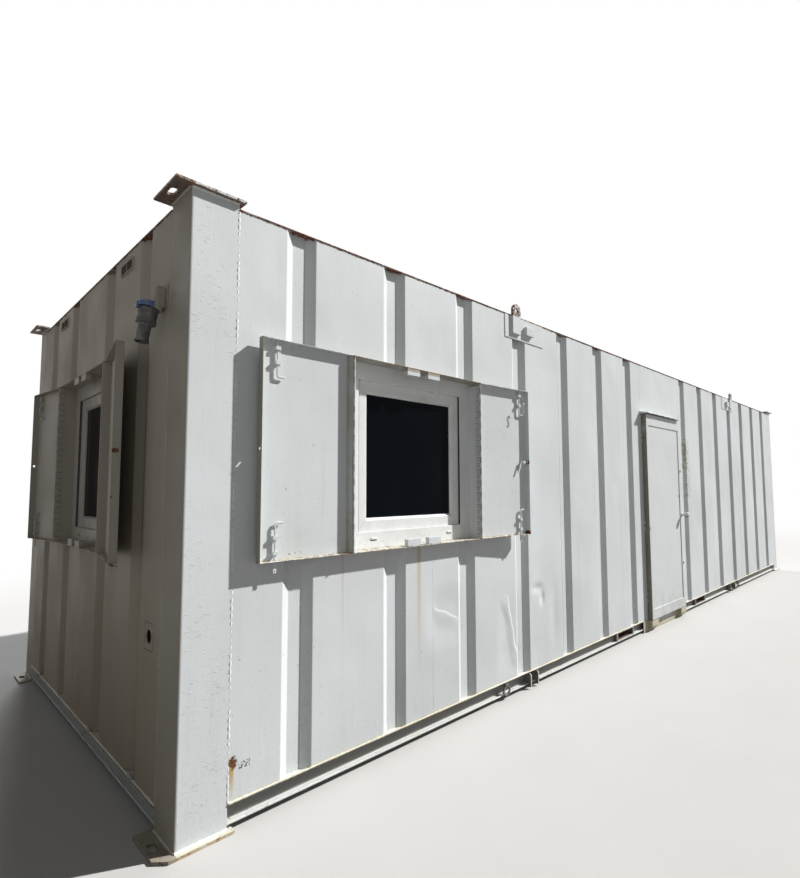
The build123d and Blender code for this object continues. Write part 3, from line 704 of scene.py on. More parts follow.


# The far end takes the key lamp's full light, so its paint is made darker than the front's:
# painted shade that keeps it from washing out.
far_shaded_paint = site_paint(
    "far_end_paint",
    base=(0.52, 0.53, 0.525),
    worn=(0.46, 0.465, 0.45),
    grime=0.5,
    gloss=0.06,
    rust=wall_rust,
    stains=[(foot_ledge, CREAM, 0.4)],
    reliefs=[(waves, 0.02)],
)


def end_soil_and_shade(f):
    """Painted shade and road dust on the near end, both darkest low down."""
    low = f.ramp(f.z, 0.1, 2.0, 1, 0.35)
    return f.times(low, f.cloud(0.25, 0.25, 0.75, 0.55, 1, stretch=(1, 1, 0.3), detail=6))


def painted_light_behind_leaves(f):
    """Painted light: paler paint behind the open leaves, which lifts the shade that they throw on the
    wall.
    """
    behind = f.most(f.band(f.y, 0.7, 0.92, 0.16), f.band(f.y, 2.0, 2.22, 0.16))
    return f.times(behind, f.band(f.z, 1.25, 1.93, 0.12))


def cable_marks(f):
    """Where a bracket round the cable hole was taken off."""
    plate = f.times(f.band(f.y, 0.298, 0.402, 0.002), f.band(f.z, 0.71, 0.83, 0.002))
    bare = f.times(f.band(f.y, 0.302, 0.398, 0.002), f.band(f.z, 0.714, 0.826, 0.002), -1)
    return f.times(f.plus(plate, bare), f.cloud(0.03, 0.4, 0.46, shift=(0, 4, 4), detail=3))


# The near end's paint, also used for its vents, is a darker and warmer copy of the wall paint: painted
# shade, with road dust.
END_SHADED_CREAM = (0.5, 0.465, 0.405)
END_SHADED_WORN = (0.43, 0.39, 0.325)
end_paint = site_paint(
    "end_wall_paint",
    base=END_SHADED_CREAM,
    worn=END_SHADED_WORN,
    grime=0.7,
    gloss=0.03,
    rust=wall_rust,
    stains=[
        (end_soil_and_shade, (0.33, 0.28, 0.21), 0.8),
        (painted_light_behind_leaves, (0.6, 0.56, 0.48), 0.8),
        (cable_marks, (0.02, 0.015, 0.012), 0.9),
    ],
    reliefs=[(waves, 0.025)],
)


def fold_line(edge, angle):
    return 20 < abs(angle) < 60


for node, paint in (
    ("front_wall_near", wall_paint),
    ("front_wall_far", wall_paint),
    ("back_wall", back_paint),
    ("end_wall_near", end_paint),
    ("end_wall_far", far_shaded_paint),
):
    sheet = merged(node)
    rounded(sheet, 0.007, 3, fold_line)
    pressed = made(node + "_pressed", sheet, paint)
    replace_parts(pressed, node)
coat("front_wall_over_door", wall_paint)

# Seams: welds where the wall sheets meet, and a bead of mastic that keeps water out along
# their foot. Both are brushed over with paint.
seam_top = 2.65
on_sheet = 0.0008
sheet_seams = [((1.417, on_sheet, wall_foot), (1.417, on_sheet, 1.04))]
for x in (2.847, 3.9, 4.397, 5.43, 6.5, 7.7, 8.85):
    sheet_seams.append(((x, on_sheet, wall_foot), (x, on_sheet, seam_top)))
for x in (1.9, 3.1, 4.9, 6.7, 7.9):
    y = cabin_width - on_sheet
    sheet_seams.append(((x, y, wall_foot), (x, y, seam_top)))
sheet_seams.append(((on_sheet, 1.574, wall_foot), (on_sheet, 1.574, 1.08)))
beads("sheet_seams", sheet_seams, 0.0016, wall_paint, step=0.009)
foot_mastic = site_paint("foot_mastic", base=(0.74, 0.72, 0.62), grime=0.6, worn=CREAM)
past_post = 0.21
mastic_z = 0.1135
foot_runs = []
for start, end in (
    ((past_post, -0.001), (4.3, -0.001)),
    ((5.43, -0.001), (far_x - past_post, -0.001)),
    ((-0.001, 0.22), (-0.001, 2.83)),
    ((past_post, cabin_width + 0.001), (far_x - past_post, cabin_width + 0.001)),
):
    foot_runs.append(((*start, mastic_z), (*end, mastic_z)))
beads("foot_mastic", foot_runs, 0.0065, foot_mastic)

# Hem: the edge of the rails' lower lip is folded back on itself, which makes it blunt and
# stiff, and shows as a pale line in the sun.
hem_in = 0.0058
hem_z = 0.0325
hem_runs = []
for y in (hem_in, cabin_width - hem_in):
    hem_runs.append(((past_post, y, hem_z), (far_x - past_post, y, hem_z)))
for x in (hem_in, far_x - hem_in):
    hem_runs.append(((x, 0.22, hem_z), (x, 2.83, hem_z)))
hem_paint = site_paint(
    "hem_paint", grime=0.5, low_dirt=0.5, rust=rail_rust, stains=[(shade_dust, RAIL_SHADE_DUST, 0.8)]
)
beads("rail_hems", hem_runs, 0.0053, hem_paint, step=0.06)


# Linings and ceiling: cream vinyl-faced boards with a fine pressed grain, their joints
# covered by thin strips of the same vinyl.
f = Finish("lining_board")
grain = f.noise(0.004, detail=3)
strip = f.fall(f.math("PINGPONG", f.plus(f.x, 0.3), 0.6), 0.012, 0.0135)
vinyl = f.mix(f.cloud(0.8, 0.3, 0.7, detail=3), (0.62, 0.6, 0.53), (0.56, 0.54, 0.47))
lining_board = f.set(
    Base_Color=f.mix(f.times(strip, 0.5), vinyl, (0.7, 0.69, 0.63)),
    Roughness=f.ramp(grain, 0.3, 0.7, 0.5, 0.62),
    Normal=f.bump(strip, 0.0015, f.bump(grain, 0.0002)),
)
for lining in ("front_near", "front_far", "over_door", "back", "near_end", "far_end"):
    coat("lining_" + lining, lining_board)
coat("ceiling", lining_board)


# Roof: a cambered steel deck with standing seams, dull with old paint and rusting where
# water stands on it and along its edges.
def roof_rust(f):
    pool = f.cloud(0.4, 0.56, 0.66, detail=6, rough=0.65)
    edge = f.most(f.fall(f.y, 0.1, 0.2), f.ramp(f.y, 2.85, 2.95))
    return f.most(pool, f.times(edge, f.ramp(f.lumps(0.08), 0.45, 0.6)))


roof_paint = site_paint(
    "roof_sheet", base=(0.38, 0.38, 0.365), worn=(0.3, 0.3, 0.275), grime=1, rust=roof_rust
)
coat("roof", roof_paint)


# Roof trim: a folded angle over the wall's top edge. Its paint flakes off in a thin line
# and shows red oxide primer and rust.
def trim_flakes(f):
    flake = f.noise(0.035, stretch=(0.45, 0.45, 1), detail=6, rough=0.75)
    return f.times(f.ramp(flake, 0.43, 0.5), f.ramp(f.z, 2.65, 2.656))


def oxide(f):
    return f.times(f.ramp(f.z, 2.6515, 2.6545), f.cloud(0.09, 0.2, 0.45))


trim_paint = site_paint(
    "trim_paint", grime=0.5, rust=trim_flakes, stains=[(oxide, (0.2, 0.12, 0.09), 0.8)]
)
coat("roof_trim", trim_paint)


# Window surrounds: steel boxes welded into the wall, with the shutters' long hinges stitched
# to their inner sides and blocks at top and bottom that take the shutter bolts.
to_near_end = Matrix.Translation((0, cabin_width, 0)) @ Matrix.Rotation(-math.pi / 2, 4, "Z")
front_middle = 1.297
end_middle = 1.584
windows = (("front", front_middle, Matrix.Identity(4)), ("end", end_middle, to_near_end))
surround_low = 1.088
surround_high = 2.092
surround_half = 0.495


def lip(f):
    """The cut front edge of the surround's top."""
    edge = f.most(f.ramp(f.y, -0.0585, -0.0592), f.ramp(f.x, -0.0585, -0.0592))
    return f.times(f.ramp(f.z, 2.086, 2.0875), edge)


def surround_rust(f):
    ragged = f.lumps(0.022)
    top = f.times(lip(f), f.ramp(ragged, 0.46, 0.54))
    floor_rust = f.times(f.band(f.z, 1.09, 1.094, 0.002), f.ramp(ragged, 0.52, 0.6))
    bottom = f.times(f.fall(f.z, 1.0885, 1.0895), f.ramp(ragged, 0.42, 0.54))
    return f.most(top, floor_rust, f.times(bottom, 0.8))


def floor_cream(f):
    return f.times(f.fall(f.z, 1.0915, 1.1), f.cloud(0.06, 0.25, 0.6))


def under_lip_shade(f):
    """Painted shade under the surround's top, olive brown as lit by the ground, darkest by the keepers.
    """
    zone = f.times(f.ramp(f.z, 2.066, 2.074), f.fall(f.y, 0.02, 0.03))
    return f.times(zone, f.cloud(0.1, 0.25, 0.6, 0.5, 1))


def end_dust_and_shade(f):
    """Painted shade with dust, all over the near end's window box and leaves, inside too."""
    return f.fall(f.x, 0.14, 0.15)


def lip_brown(f):
    return f.times(lip(f), f.cloud(0.05, 0.2, 0.5))


def stitches(f):
    """Painted shade and heat marks at the gaps between the short welds of the hinge leaves."""
    along = f.math("PINGPONG", f.plus(f.z, -surround_low), 0.0186)
    return f.times(f.fall(along, 0.0035, 0.006), f.cloud(0.012, 0.3, 0.42, detail=3))


# Painted shade among these marks: under the surround's top, and over the near end's window box.
surround_marks = [
    (floor_cream, CREAM, 0.7),
    (under_lip_shade, (0.28, 0.24, 0.17), 0.8),
    (lip_brown, (0.26, 0.18, 0.09), 0.9),
    (end_dust_and_shade, (0.33, 0.29, 0.23), 0.85),
]
surround_paint = site_paint(
    "surround_paint", grime=0.45, gloss=0.12, rust=surround_rust, stains=surround_marks
)
stitch_paint = site_paint(
    "stitch_paint",
    base=(0.5, 0.48, 0.42),
    grime=0.6,
    stains=surround_marks + [(stitches, (0.1, 0.085, 0.07), 0.9)],
)


def add_block(mesh, x, y, z):
    """Adds a block from (low, high) pairs along X, Y and Z."""
    centre = Vector(((x[0] + x[1]) / 2, (y[0] + y[1]) / 2, (z[0] + z[1]) / 2))
    size = Matrix.Diagonal((x[1] - x[0], y[1] - y[0], z[1] - z[0], 1))
    bmesh.ops.create_cube(mesh, size=1, matrix=Matrix.Translation(centre) @ size)


stitch_count = 27
stitch_gap = 0.0075
pitch = (surround_high - surround_low) / stitch_count
strip_inner = 0.4902
strip_outer = 0.4921
mastic_out = 0.0015
for side, centre, place in windows:
    coat(side + "_window_surround", surround_paint)
    strips = bmesh.new()
    for sign in (-1, 1):
        x = sorted((centre + sign * strip_outer, centre + sign * strip_inner))
        for k in range(stitch_count):
            low = surround_low + 0.006 + k * pitch
            high = min(low + pitch - stitch_gap, surround_high - 0.004)
            add_block(strips, x, (-0.0597, -0.034), (low, high))
    rounded(strips, 0.0007, 1, sharp(50))
    bmesh.ops.transform(strips, matrix=place, verts=strips.verts)
    made(side + "_hinge_stitches", strips, stitch_paint)
    left, right = centre - surround_half - mastic_out, centre + surround_half + mastic_out
    low, high = surround_low - mastic_out, surround_high + mastic_out
    ring = ((left, low), (right, low), (right, high), (left, high))
    corners = [place @ Vector((x, -0.001, z)) for x, z in ring]
    loop = list(zip(corners, corners[1:] + corners[:1]))
    beads(side + "_surround_mastic", loop, 0.0042, mastic_paint)


# Windows: white extruded plastic frames, mitred and welded at the corners, with tilting
# sashes, black rubber gaskets, a sealed pane painted nearly black as the shade of the room
# behind it, and small hoods over the drain slots, which are black blocks of painted shade.
window_mid = 1.59


def mitre(f, across, centre):
    """The welded joint line at 45 degrees through each corner of frame and sash."""
    out_x = f.math("ABSOLUTE", f.plus(across, -centre))
    out_z = f.math("ABSOLUTE", f.plus(f.z, -window_mid))
    off_line = f.math("ABSOLUTE", f.plus(f.math("SUBTRACT", out_x, out_z), 0.007))
    return f.fall(off_line, 0.0003, 0.0011)


f = Finish("window_plastic")
film = f.noise(0.12, detail=5)
front_mitre = f.times(mitre(f, f.x, front_middle), f.ramp(f.x, 0.3, 0.31))
end_mitre = f.times(mitre(f, f.y, cabin_width - end_middle), f.fall(f.x, 0.3, 0.31))
mitres = f.most(front_mitre, end_mitre)
sill_dirt = f.times(f.fall(f.z, 1.1, 1.26), f.cloud(0.012, 0.5, 0.75, rough=0.7))
# Painted shade with dust: the near end's frames darker, warmer and duller.
end_film_and_shade = f.fall(f.x, 0.09, 0.1)
colour = f.mix(f.ramp(film, 0.45, 0.8), (0.78, 0.8, 0.8), (0.7, 0.71, 0.69))
colour = f.mix(f.times(sill_dirt, 0.45), colour, GRIME)
colour = f.mix(f.times(mitres, 0.55), colour, (0.3, 0.3, 0.3))
colour = f.mix(f.times(end_film_and_shade, 0.8), colour, (0.36, 0.33, 0.275))
window_plastic = f.set(
    Base_Color=colour,
    Roughness=f.ramp(film, 0.3, 0.7, 0.26, 0.4),
    Normal=f.bump(mitres, -0.0006, f.bump(f.noise(0.003), 0.00003)),
    Specular_IOR_Level=f.scaled(end_film_and_shade, -0.27, 0.3),
)

f = Finish("gasket_rubber")
bloom = f.noise(0.02, detail=4)
rubber = f.set(
    Base_Color=f.mix(f.ramp(bloom, 0.4, 0.8), (0.018, 0.02, 0.021), (0.06, 0.062, 0.06)),
    Roughness=f.ramp(bloom, 0.3, 0.7, 0.5, 0.7),
    Normal=f.bump(bloom, 0.0002),
)

# The pane is opaque and nearly black: painted shade for the dark room behind it. Its smears and drops are
# its own.
f = Finish("window_glass")
smear = f.noise(0.35, stretch=(1, 1, 0.5), detail=6)
drops = f.cloud(0.01, 0.62, 0.7, detail=2)
smeared = f.times(f.ramp(smear, 0.5, 0.8), 0.35)
pane = f.set(
    Base_Color=f.mix(smeared, (0.0015, 0.003, 0.005), (0.006, 0.009, 0.012)),
    Roughness=f.ramp(f.scaled(drops, 0.12, smear), 0.35, 0.9, 0.015, 0.16),
    Specular_IOR_Level=0.03,
    Normal=f.bump(f.noise(0.5, detail=1), 0.0006),
)


def add_ring(mesh, centre, half_wide, half_high, member, y):
    """Adds an upright ring between two Y values, by its outer edge and the width of its members."""
    place = Matrix.Translation((centre, y[0], window_mid)) @ Matrix.Rotation(math.pi / 2, 4, "X")
    size = Matrix.Diagonal((half_wide, half_high, 1, 1))
    flat = bmesh.ops.create_grid(mesh, x_segments=1, y_segments=1, size=1, matrix=place @ size)
    face = flat["verts"][0].link_faces[0]
    border = bmesh.ops.inset_region(mesh, faces=[face], thickness=member, use_even_offset=True)["faces"]
    bmesh.ops.delete(mesh, geom=[face], context="FACES_ONLY")
    bulk = bmesh.ops.extrude_face_region(mesh, geom=border)["geom"]
    moved = [item for item in bulk if isinstance(item, bmesh.types.BMVert)]
    bmesh.ops.translate(mesh, verts=moved, vec=(0, y[1] - y[0], 0))
    bmesh.ops.recalc_face_normals(mesh, faces=mesh.faces)


sash_wide = 0.4012
sash_high = 0.4082
pane_wide = 0.3302
pane_high = 0.3372
hood_half = 0.021
slot_half = 0.018
for side, centre, place in windows:
    for part in ("frame", "sash"):
        node = side + "_window_" + part
        profile = merged(node)
        rounded(profile, 0.003, 3, sharp(30, 0.5))
        moulded = made(node + "_moulded", profile, window_plastic)
        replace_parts(moulded, node)
    coat(side + "_window_glass", pane)
    gaskets = bmesh.new()
    add_ring(gaskets, centre, sash_wide, sash_high, 0.003, (0.042, 0.0452))
    for x in ((centre - sash_wide, centre - 0.3995), (centre + 0.3995, centre + sash_wide)):
        add_block(gaskets, x, (0.0315, 0.0448), (1.186, 1.998))
    add_ring(gaskets, centre, pane_wide, pane_high, 0.006, (0.0575, 0.0626))
    bmesh.ops.transform(gaskets, matrix=place, verts=gaskets.verts)
    made(side + "_gaskets", gaskets, rubber)
    hoods = bmesh.new()
    slots = bmesh.new()
    for sign in (-1, 1):
        x = centre + sign * 0.297
        add_block(hoods, (x - hood_half, x + hood_half), (0.0245, 0.0305), (1.1375, 1.149))
        # The slots under the hoods are thin black blocks: painted shade inside the drain slots.
        add_block(slots, (x - slot_half, x + slot_half), (0.0285, 0.0303), (1.132, 1.138))
    rounded(hoods, 0.0025, 3, sharp(50))
    rounded(slots, 0.0006, 1, sharp(50))
    for part, mesh, material in (("hoods", hoods, window_plastic), ("slots", slots, rubber)):
        bmesh.ops.transform(mesh, matrix=place, verts=mesh.verts)
        made(side + "_drain_" + part, mesh, material)


# Shutters: folded steel trays, four to the cabin, with rod bolts running in lugs inside. The
# folds have worn to yellow rust along the bottom and where the bolts rub.
def shutter_rust(f):
    lump = f.lumps(0.025)
    low = f.times(f.band(f.z, 1.0875, 1.09, 0.006), f.ramp(lump, 0.48, 0.58))
    high = f.times(f.ramp(f.z, 2.08, 2.092), f.ramp(lump, 0.56, 0.64))
    corners = f.most(
        f.patch((2.292, 0, 1.095), (0.02, 0, 0.022), 0.5, 0.012),
        f.patch((2.294, 0, 1.59), (0.009, 0, 0.016), 0.3, 0.008),
        f.patch((-0.125, 0.476, 1.59), (0.02, 0.02, 0.013), 0.2, 0.01),
        f.patch((-0.06, 0.56, 1.575), (0.1, 0.035, 0.008), 0.4, 0.01),
    )
    spots = f.times(f.cloud(0.016, 0.72, 0.745, detail=3), f.cloud(0.4, 0.5, 0.6, detail=3))
    return f.most(low, high, corners, spots)


def yellow_line(f):
    return f.times(f.band(f.z, 1.0875, 1.094, 0.01), f.cloud(0.04, 0.3, 0.6))


def hinge_flange_shade(f):
    """Painted shade, brown as lit by the ground, down the flanges beside the long hinges of the front
    leaves.
    """
    left = f.band(f.x, 0.775, 0.8, 0.002)
    right = f.band(f.x, 1.79, 1.815, 0.002)
    return f.times(f.most(left, right), f.cloud(0.08, 0.3, 0.6, 0.5, 1, detail=4))


def free_edge_shade(f):
    """Painted shade, dark olive, on the left front leaf's outer fold, which faces away from the key lamp.
    """
    return f.times(f.fall(f.x, 0.3005, 0.303), f.ramp(f.x, 0.29, 0.292))


# Painted shade on the leaves: brown down the hinge flanges, dark olive on the left front leaf's outer
# fold, and a dark film over the near end's leaves.
shutter_paint = site_paint(
    "shutter_paint",
    rust=shutter_rust,
    stains=[
        (yellow_line, CREAM, 0.6),
        (hinge_flange_shade, (0.34, 0.31, 0.24), 0.6),
        (free_edge_shade, (0.25, 0.235, 0.165), 0.85),
        (end_dust_and_shade, (0.31, 0.275, 0.22), 0.85),
    ],
    reliefs=[(waves, 0.012)],
    gloss=0.14,
)
for side, _, _ in windows:
    for hand in ("left", "right"):
        node = side + "_shutter_" + hand
        tray = merged(node)
        rounded(tray, 0.0012, 2, sharp(60, 0.4))
        folded = made(node + "_folded", tray, shutter_paint, node)
        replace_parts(folded, node)

# Drop bar: a short length of flat steel under the near end's right leaf. It has rusted
# where it rubs on the surround.
bars = bmesh.new()
add_block(bars, (-0.134, -0.116), (0.405, 0.5), (1.079, 1.085))
rounded(bars, 0.0015, 2, sharp(50))


def bar_rust(f):
    return f.cloud(0.02, 0.4, 0.55, detail=6)


bar_paint = site_paint("bar_paint", grime=0.8, gloss=0.1, rust=bar_rust)
made("drop_bar", bars, bar_paint, "end_shutter_right")

# Hook: thin round bar bent by hand, which hangs on the top bolt of the right front leaf and
# is painted over with it.
hook = rod("bolt_hook", 0.0028, 3)
route = hook.splines.new("NURBS")
hook_turns = [
    (0.012, 0.0), (0.006, 0.014), (-0.008, 0.012), (-0.01, -0.006),
    (-0.003, -0.03), (0.004, -0.05), (-0.006, -0.062), (-0.014, -0.05),
]
route.points.add(len(hook_turns) - 1)
for point, (across, up) in zip(route.points, hook_turns):
    point.co = (2.218 + across, -0.106, 1.985 + up, 1)
route.use_endpoint_u = True
route.order_u = 3
drawn("bolt_hook", hook, shutter_paint, "front_shutter_right")


# Door: a flat steel leaf over a folded frame, hung on three barrel hinges, with a rubber
# seal behind it and a folded rain hood welded above. It has rusted at its foot.
def door_rust(f):
    lump = f.lumps(0.025)
    foot = f.times(f.fall(f.z, 0.1, 0.16), f.ramp(lump, 0.6, 0.66))
    spot = f.patch((5.24, 0, 1.31), (0.012, 0, 0.02), 0.6, 0.01)
    notch = f.patch((4.43, 0, 1.0), (0.008, 0, 0.018), 0.4, 0.01)
    return f.most(foot, spot, notch)


def hinge_side_shade(f):
    """Painted shade, dark olive as lit by the ground, down the leaf's edge on its hinge side."""
    return f.times(f.ramp(f.x, 4.419, 4.4178), f.cloud(0.15, 0.2, 0.5, 0.5, 1))


def door_dirt(f):
    return f.times(f.fall(f.z, 0.1, 0.5), f.cloud(0.12, 0.4, 0.7, detail=6))


# Painted shade down the leaf's edge on its hinge side.
door_paint = site_paint(
    "door_paint",
    base=(0.66, 0.69, 0.7),
    rust=door_rust,
    stains=[(door_dirt, GRIME, 0.3), (hinge_side_shade, (0.17, 0.155, 0.1), 0.85)],
)
leaf = merged("door_leaf")
rounded(leaf, 0.0025, 3, lambda edge, angle: abs(angle) > 60 and edge.calc_length() > 0.7)
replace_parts(made("door_leaf_folded", leaf, door_paint, "door"), "door_leaf")
coat("door_frame", door_paint)


def hinge_rust(f):
    return f.ramp(f.lumps(0.012), 0.52, 0.62)


coat("door_hinges", site_paint("hinge_paint", grime=0.8, rust=hinge_rust))


def hood_rust(f):
    return f.times(f.ramp(f.y, -0.07, -0.076), f.ramp(f.lumps(0.03), 0.5, 0.6))


hood = merged("door_hood")
rounded(hood, 0.0012, 2, sharp(40, 0.05))
hood_paint = site_paint("hood_paint", grime=0.6, rust=hood_rust)
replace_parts(made("door_hood_folded", hood, hood_paint), "door_hood")
beads("hood_weld", [((4.38, -0.001, 2.179), (5.267, -0.001, 2.179))], 0.003, mastic_paint)

seal = bmesh.new()
seal_foot = 0.13
seal_top = 2.125
for x, low in (((4.428, 4.44), seal_foot), ((5.289, 5.301), seal_foot), ((4.44, 5.289), 2.113)):
    add_block(seal, x, (-0.003, 0.001), (low, seal_top))
rounded(seal, 0.001, 2, sharp(50))
made("door_seal", seal, rubber)


# Knob and locks: turned aluminium, once bright and now painted over, on round roses. Each
# lock has a swinging cover over its keyhole.
def add_turned(mesh, profile, centre, axis, steps=32):
    """Spins a profile of (radius, distance along the axis) pairs round an axis from a centre."""
    centre = Vector(centre)
    axis = Vector(axis).normalized()
    side = axis.orthogonal().normalized()
    points = [mesh.verts.new(centre + side * radius + axis * along) for radius, along in profile]
    edges = [mesh.edges.new(pair) for pair in zip(points, points[1:])]
    bmesh.ops.spin(
        mesh, geom=points + edges, cent=centre, axis=axis, angle=2 * math.pi, steps=steps, use_merge=True
    )
    bmesh.ops.remove_doubles(mesh, verts=mesh.verts, dist=0.00001)
    bmesh.ops.recalc_face_normals(mesh, faces=mesh.faces)


knob = bmesh.new()
knob_profile = [
    (0, 0), (0.018, 0), (0.018, 0.004), (0.016, 0.006), (0.009, 0.007), (0.009, 0.017), (0.013, 0.024),
    (0.02, 0.034), (0.0255, 0.044), (0.027, 0.054), (0.0255, 0.063), (0.021, 0.071), (0.013, 0.076),
    (0.005, 0.0775), (0, 0.0776),
]
handle_x = 5.292
door_face = -0.05
outwards = (0, -1, 0)
add_turned(knob, knob_profile, (handle_x, door_face, 1.105), outwards)


def knob_wear(f):
    return f.times(f.ramp(f.y, -0.06, -0.1), f.cloud(0.012, 0.45, 0.6))


# Painted shade on the knob's lower side.
def knob_underside_shade(f):
    return f.ramp(f.z, 1.098, 1.088)


knob_paint = site_paint(
    "knob_paint",
    base=(0.7, 0.7, 0.67),
    grime=0.6,
    low_dirt=0,
    stains=[(knob_wear, (0.45, 0.44, 0.4), 0.5), (knob_underside_shade, (0.17, 0.17, 0.13), 0.8)],
)
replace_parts(made("turned_knob", knob, knob_paint, "door", True), "door_handle")

locks = bmesh.new()
lock_profile = [(0, 0), (0.015, 0), (0.015, 0.003), (0.0135, 0.0065), (0.0115, 0.0085), (0, 0.0087)]
covers = bmesh.new()
cover_profile = [(0, 0), (0.004, 0), (0.004, 0.0008), (0, 0.001)]
cover_half = 0.003
cover_back = -0.0586
for z in (0.585, 1.59):
    pivot = z + 0.004
    across = (handle_x - cover_half, handle_x + cover_half)
    add_turned(locks, lock_profile, (handle_x, door_face, z), outwards, 28)
    add_turned(covers, cover_profile, (handle_x, cover_back, pivot), outwards, 16)
    add_block(covers, across, (cover_back - 0.001, cover_back), (z - 0.007, pivot))


def lock_ring(f):
    """Dark line round each lock where dirt sits against the door."""
    return f.ramp(f.y, -0.0525, -0.0505)


lock_paint = site_paint(
    "lock_paint", base=(0.72, 0.73, 0.72), low_dirt=0, stains=[(lock_ring, (0.08, 0.075, 0.07), 0.9)]
)
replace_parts(made("turned_locks", locks, lock_paint, "door", True), "door_locks")
cover_paint = site_paint("cover_paint", base=(0.4, 0.4, 0.38), grime=0.6, low_dirt=0, rust=hinge_rust)
made("lock_covers", covers, cover_paint, "door")


# Sill under the door: a plate welded to the rail and two brackets under the leaf, cream
# with old paint that is stained and flaking.
def sill_stain(f):
    return f.cloud(0.05, 0.35, 0.55, detail=6)


def sill_white(f):
    return f.patch((4.87, 0, 0.06), (0.2, 0, 0.04), 0.6, 0.05)


def sill_rust(f):
    return f.ramp(f.lumps(0.03), 0.6, 0.66)


sill_paint = site_paint(
    "sill_paint",
    base=(0.56, 0.53, 0.43),
    worn=(0.42, 0.39, 0.31),
    grime=0.9,
    rust=sill_rust,
    stains=[(sill_stain, CREAM, 0.6), (sill_white, (0.7, 0.71, 0.69), 0.8)],
)
coat("door_sill", sill_paint)


# Lifting eyes: flame-cut plate on long doubler plates with stop blocks, welded all round to
# the wall's top edge and painted with it.
def eye_rust(f):
    ragged = f.lumps(0.015)
    top = f.times(f.ramp(f.z, 2.647, 2.653), f.ramp(ragged, 0.42, 0.55))
    eye = f.times(f.ramp(f.z, 2.7, 2.742), f.ramp(ragged, 0.6, 0.66))
    return f.most(top, eye)


def doubler_foot_dark(f):
    """Darker along the foot of the doublers and stop blocks."""
    return f.fall(f.z, 2.486, 2.492)


eye_paint = site_paint(
    "eye_paint", grime=0.4, rust=eye_rust, stains=[(doubler_foot_dark, (0.3, 0.28, 0.25), 0.6)]
)
for node in ("lifting_eyes", "eye_doublers"):
    plates = merged(node)
    rounded(plates, 0.002, 2, sharp(60, 0.04))
    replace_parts(made(node + "_welded", plates, eye_paint), node)
eye_half = 0.049
doubler_half = 0.24
doubler_foot = 2.4855
eye_welds = []
for middle, inward in ((2.275, 1), (7.445, -1)):
    centre = middle + inward * doubler_half / 2
    for y in (-0.0005, cabin_width + 0.0005):
        left, right = centre - doubler_half, centre + doubler_half
        eye_welds.append(((left, y, doubler_foot), (right, y, doubler_foot)))
        for x in (left, right):
            eye_welds.append(((x, y, doubler_foot), (x, y, 2.652)))
    for y in (-0.0055, cabin_width + 0.0055):
        for x in (middle - eye_half, middle + eye_half):
            eye_welds.append(((x, y, 2.524), (x, y, 2.65)))
beads("eye_welds", eye_welds, 0.0028, mastic_paint, step=0.009)


# Lashing lugs and rings: thick plate and round bar welded into the base rail, dark with
# rubbed paint, bright on the edges that catch the straps.
def lug_edge(f):
    return f.times(f.ramp(f.y, -0.02, -0.023), f.cloud(0.02, 0.3, 0.5, detail=4))


lug_paint = site_paint(
    "lug_paint",
    base=(0.2, 0.19, 0.18),
    worn=(0.14, 0.125, 0.11),
    grime=0.8,
    rust=sill_rust,
    stains=[(lug_edge, (0.66, 0.66, 0.63), 0.85)],
)
lugs = merged("lashing_lugs")
rounded(lugs, 0.0014, 2, sharp(60, 0.03))
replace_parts(made("lashing_lugs_welded", lugs, lug_paint), "lashing_lugs")


# Vents: two pressed louvre plates high in the near end, two columns of slots each, painted
# over with the wall, and black inside and under each louvre as painted shade.
vent_low = 2.5565
vent_high = 2.6015
vent_half = 0.0865
vent_middles = (0.834, 2.21)


def slot_shade(f):
    """Painted shade: black for the hollow behind the slots and under each louvre."""
    height = f.band(f.z, vent_low, vent_high, 0.0005)
    plates = f.most(*(f.band(f.y, y - vent_half, y + vent_half, 0.0005) for y in vent_middles))
    posts = f.most(*(f.band(f.y, y - 0.004, y + 0.004, 0.0005) for y in vent_middles))
    inner = f.times(height, f.ramp(f.x, -0.00795, -0.0078))
    step = f.math("FRACT", f.times(f.plus(f.z, -2.556), 6 / 0.046))
    lows = f.times(f.fall(step, 0.76, 0.8), height)
    columns = f.times(plates, f.math("SUBTRACT", 1, posts))
    return f.most(f.times(inner, plates), f.times(lows, columns))


vent_paint = site_paint(
    "vent_paint",
    base=END_SHADED_CREAM,
    worn=END_SHADED_WORN,
    grime=0.7,
    gloss=0,
    stains=[(slot_shade, (0.012, 0.012, 0.012), 0.97)],
)
coat("end_vents", vent_paint)
# Black blocks behind the slots: painted shade for the hollow inside the vents.
shade_blocks = bmesh.new()
for y in vent_middles:
    add_block(shade_blocks, (-0.0072, 0.0004), (y - 0.086, y + 0.086), (2.557, 2.601))
rounded(shade_blocks, 0.0003, 1, sharp(50))
f = Finish("vent_shade")
black = f.set(
    Base_Color=f.mix(f.noise(0.01), (0.004, 0.004, 0.004), (0.012, 0.011, 0.01)),
    Roughness=f.cloud(0.02, 0.3, 0.7, 0.9, 1, detail=3),
    Specular_IOR_Level=0,
)
made("vent_voids", shade_blocks, black)


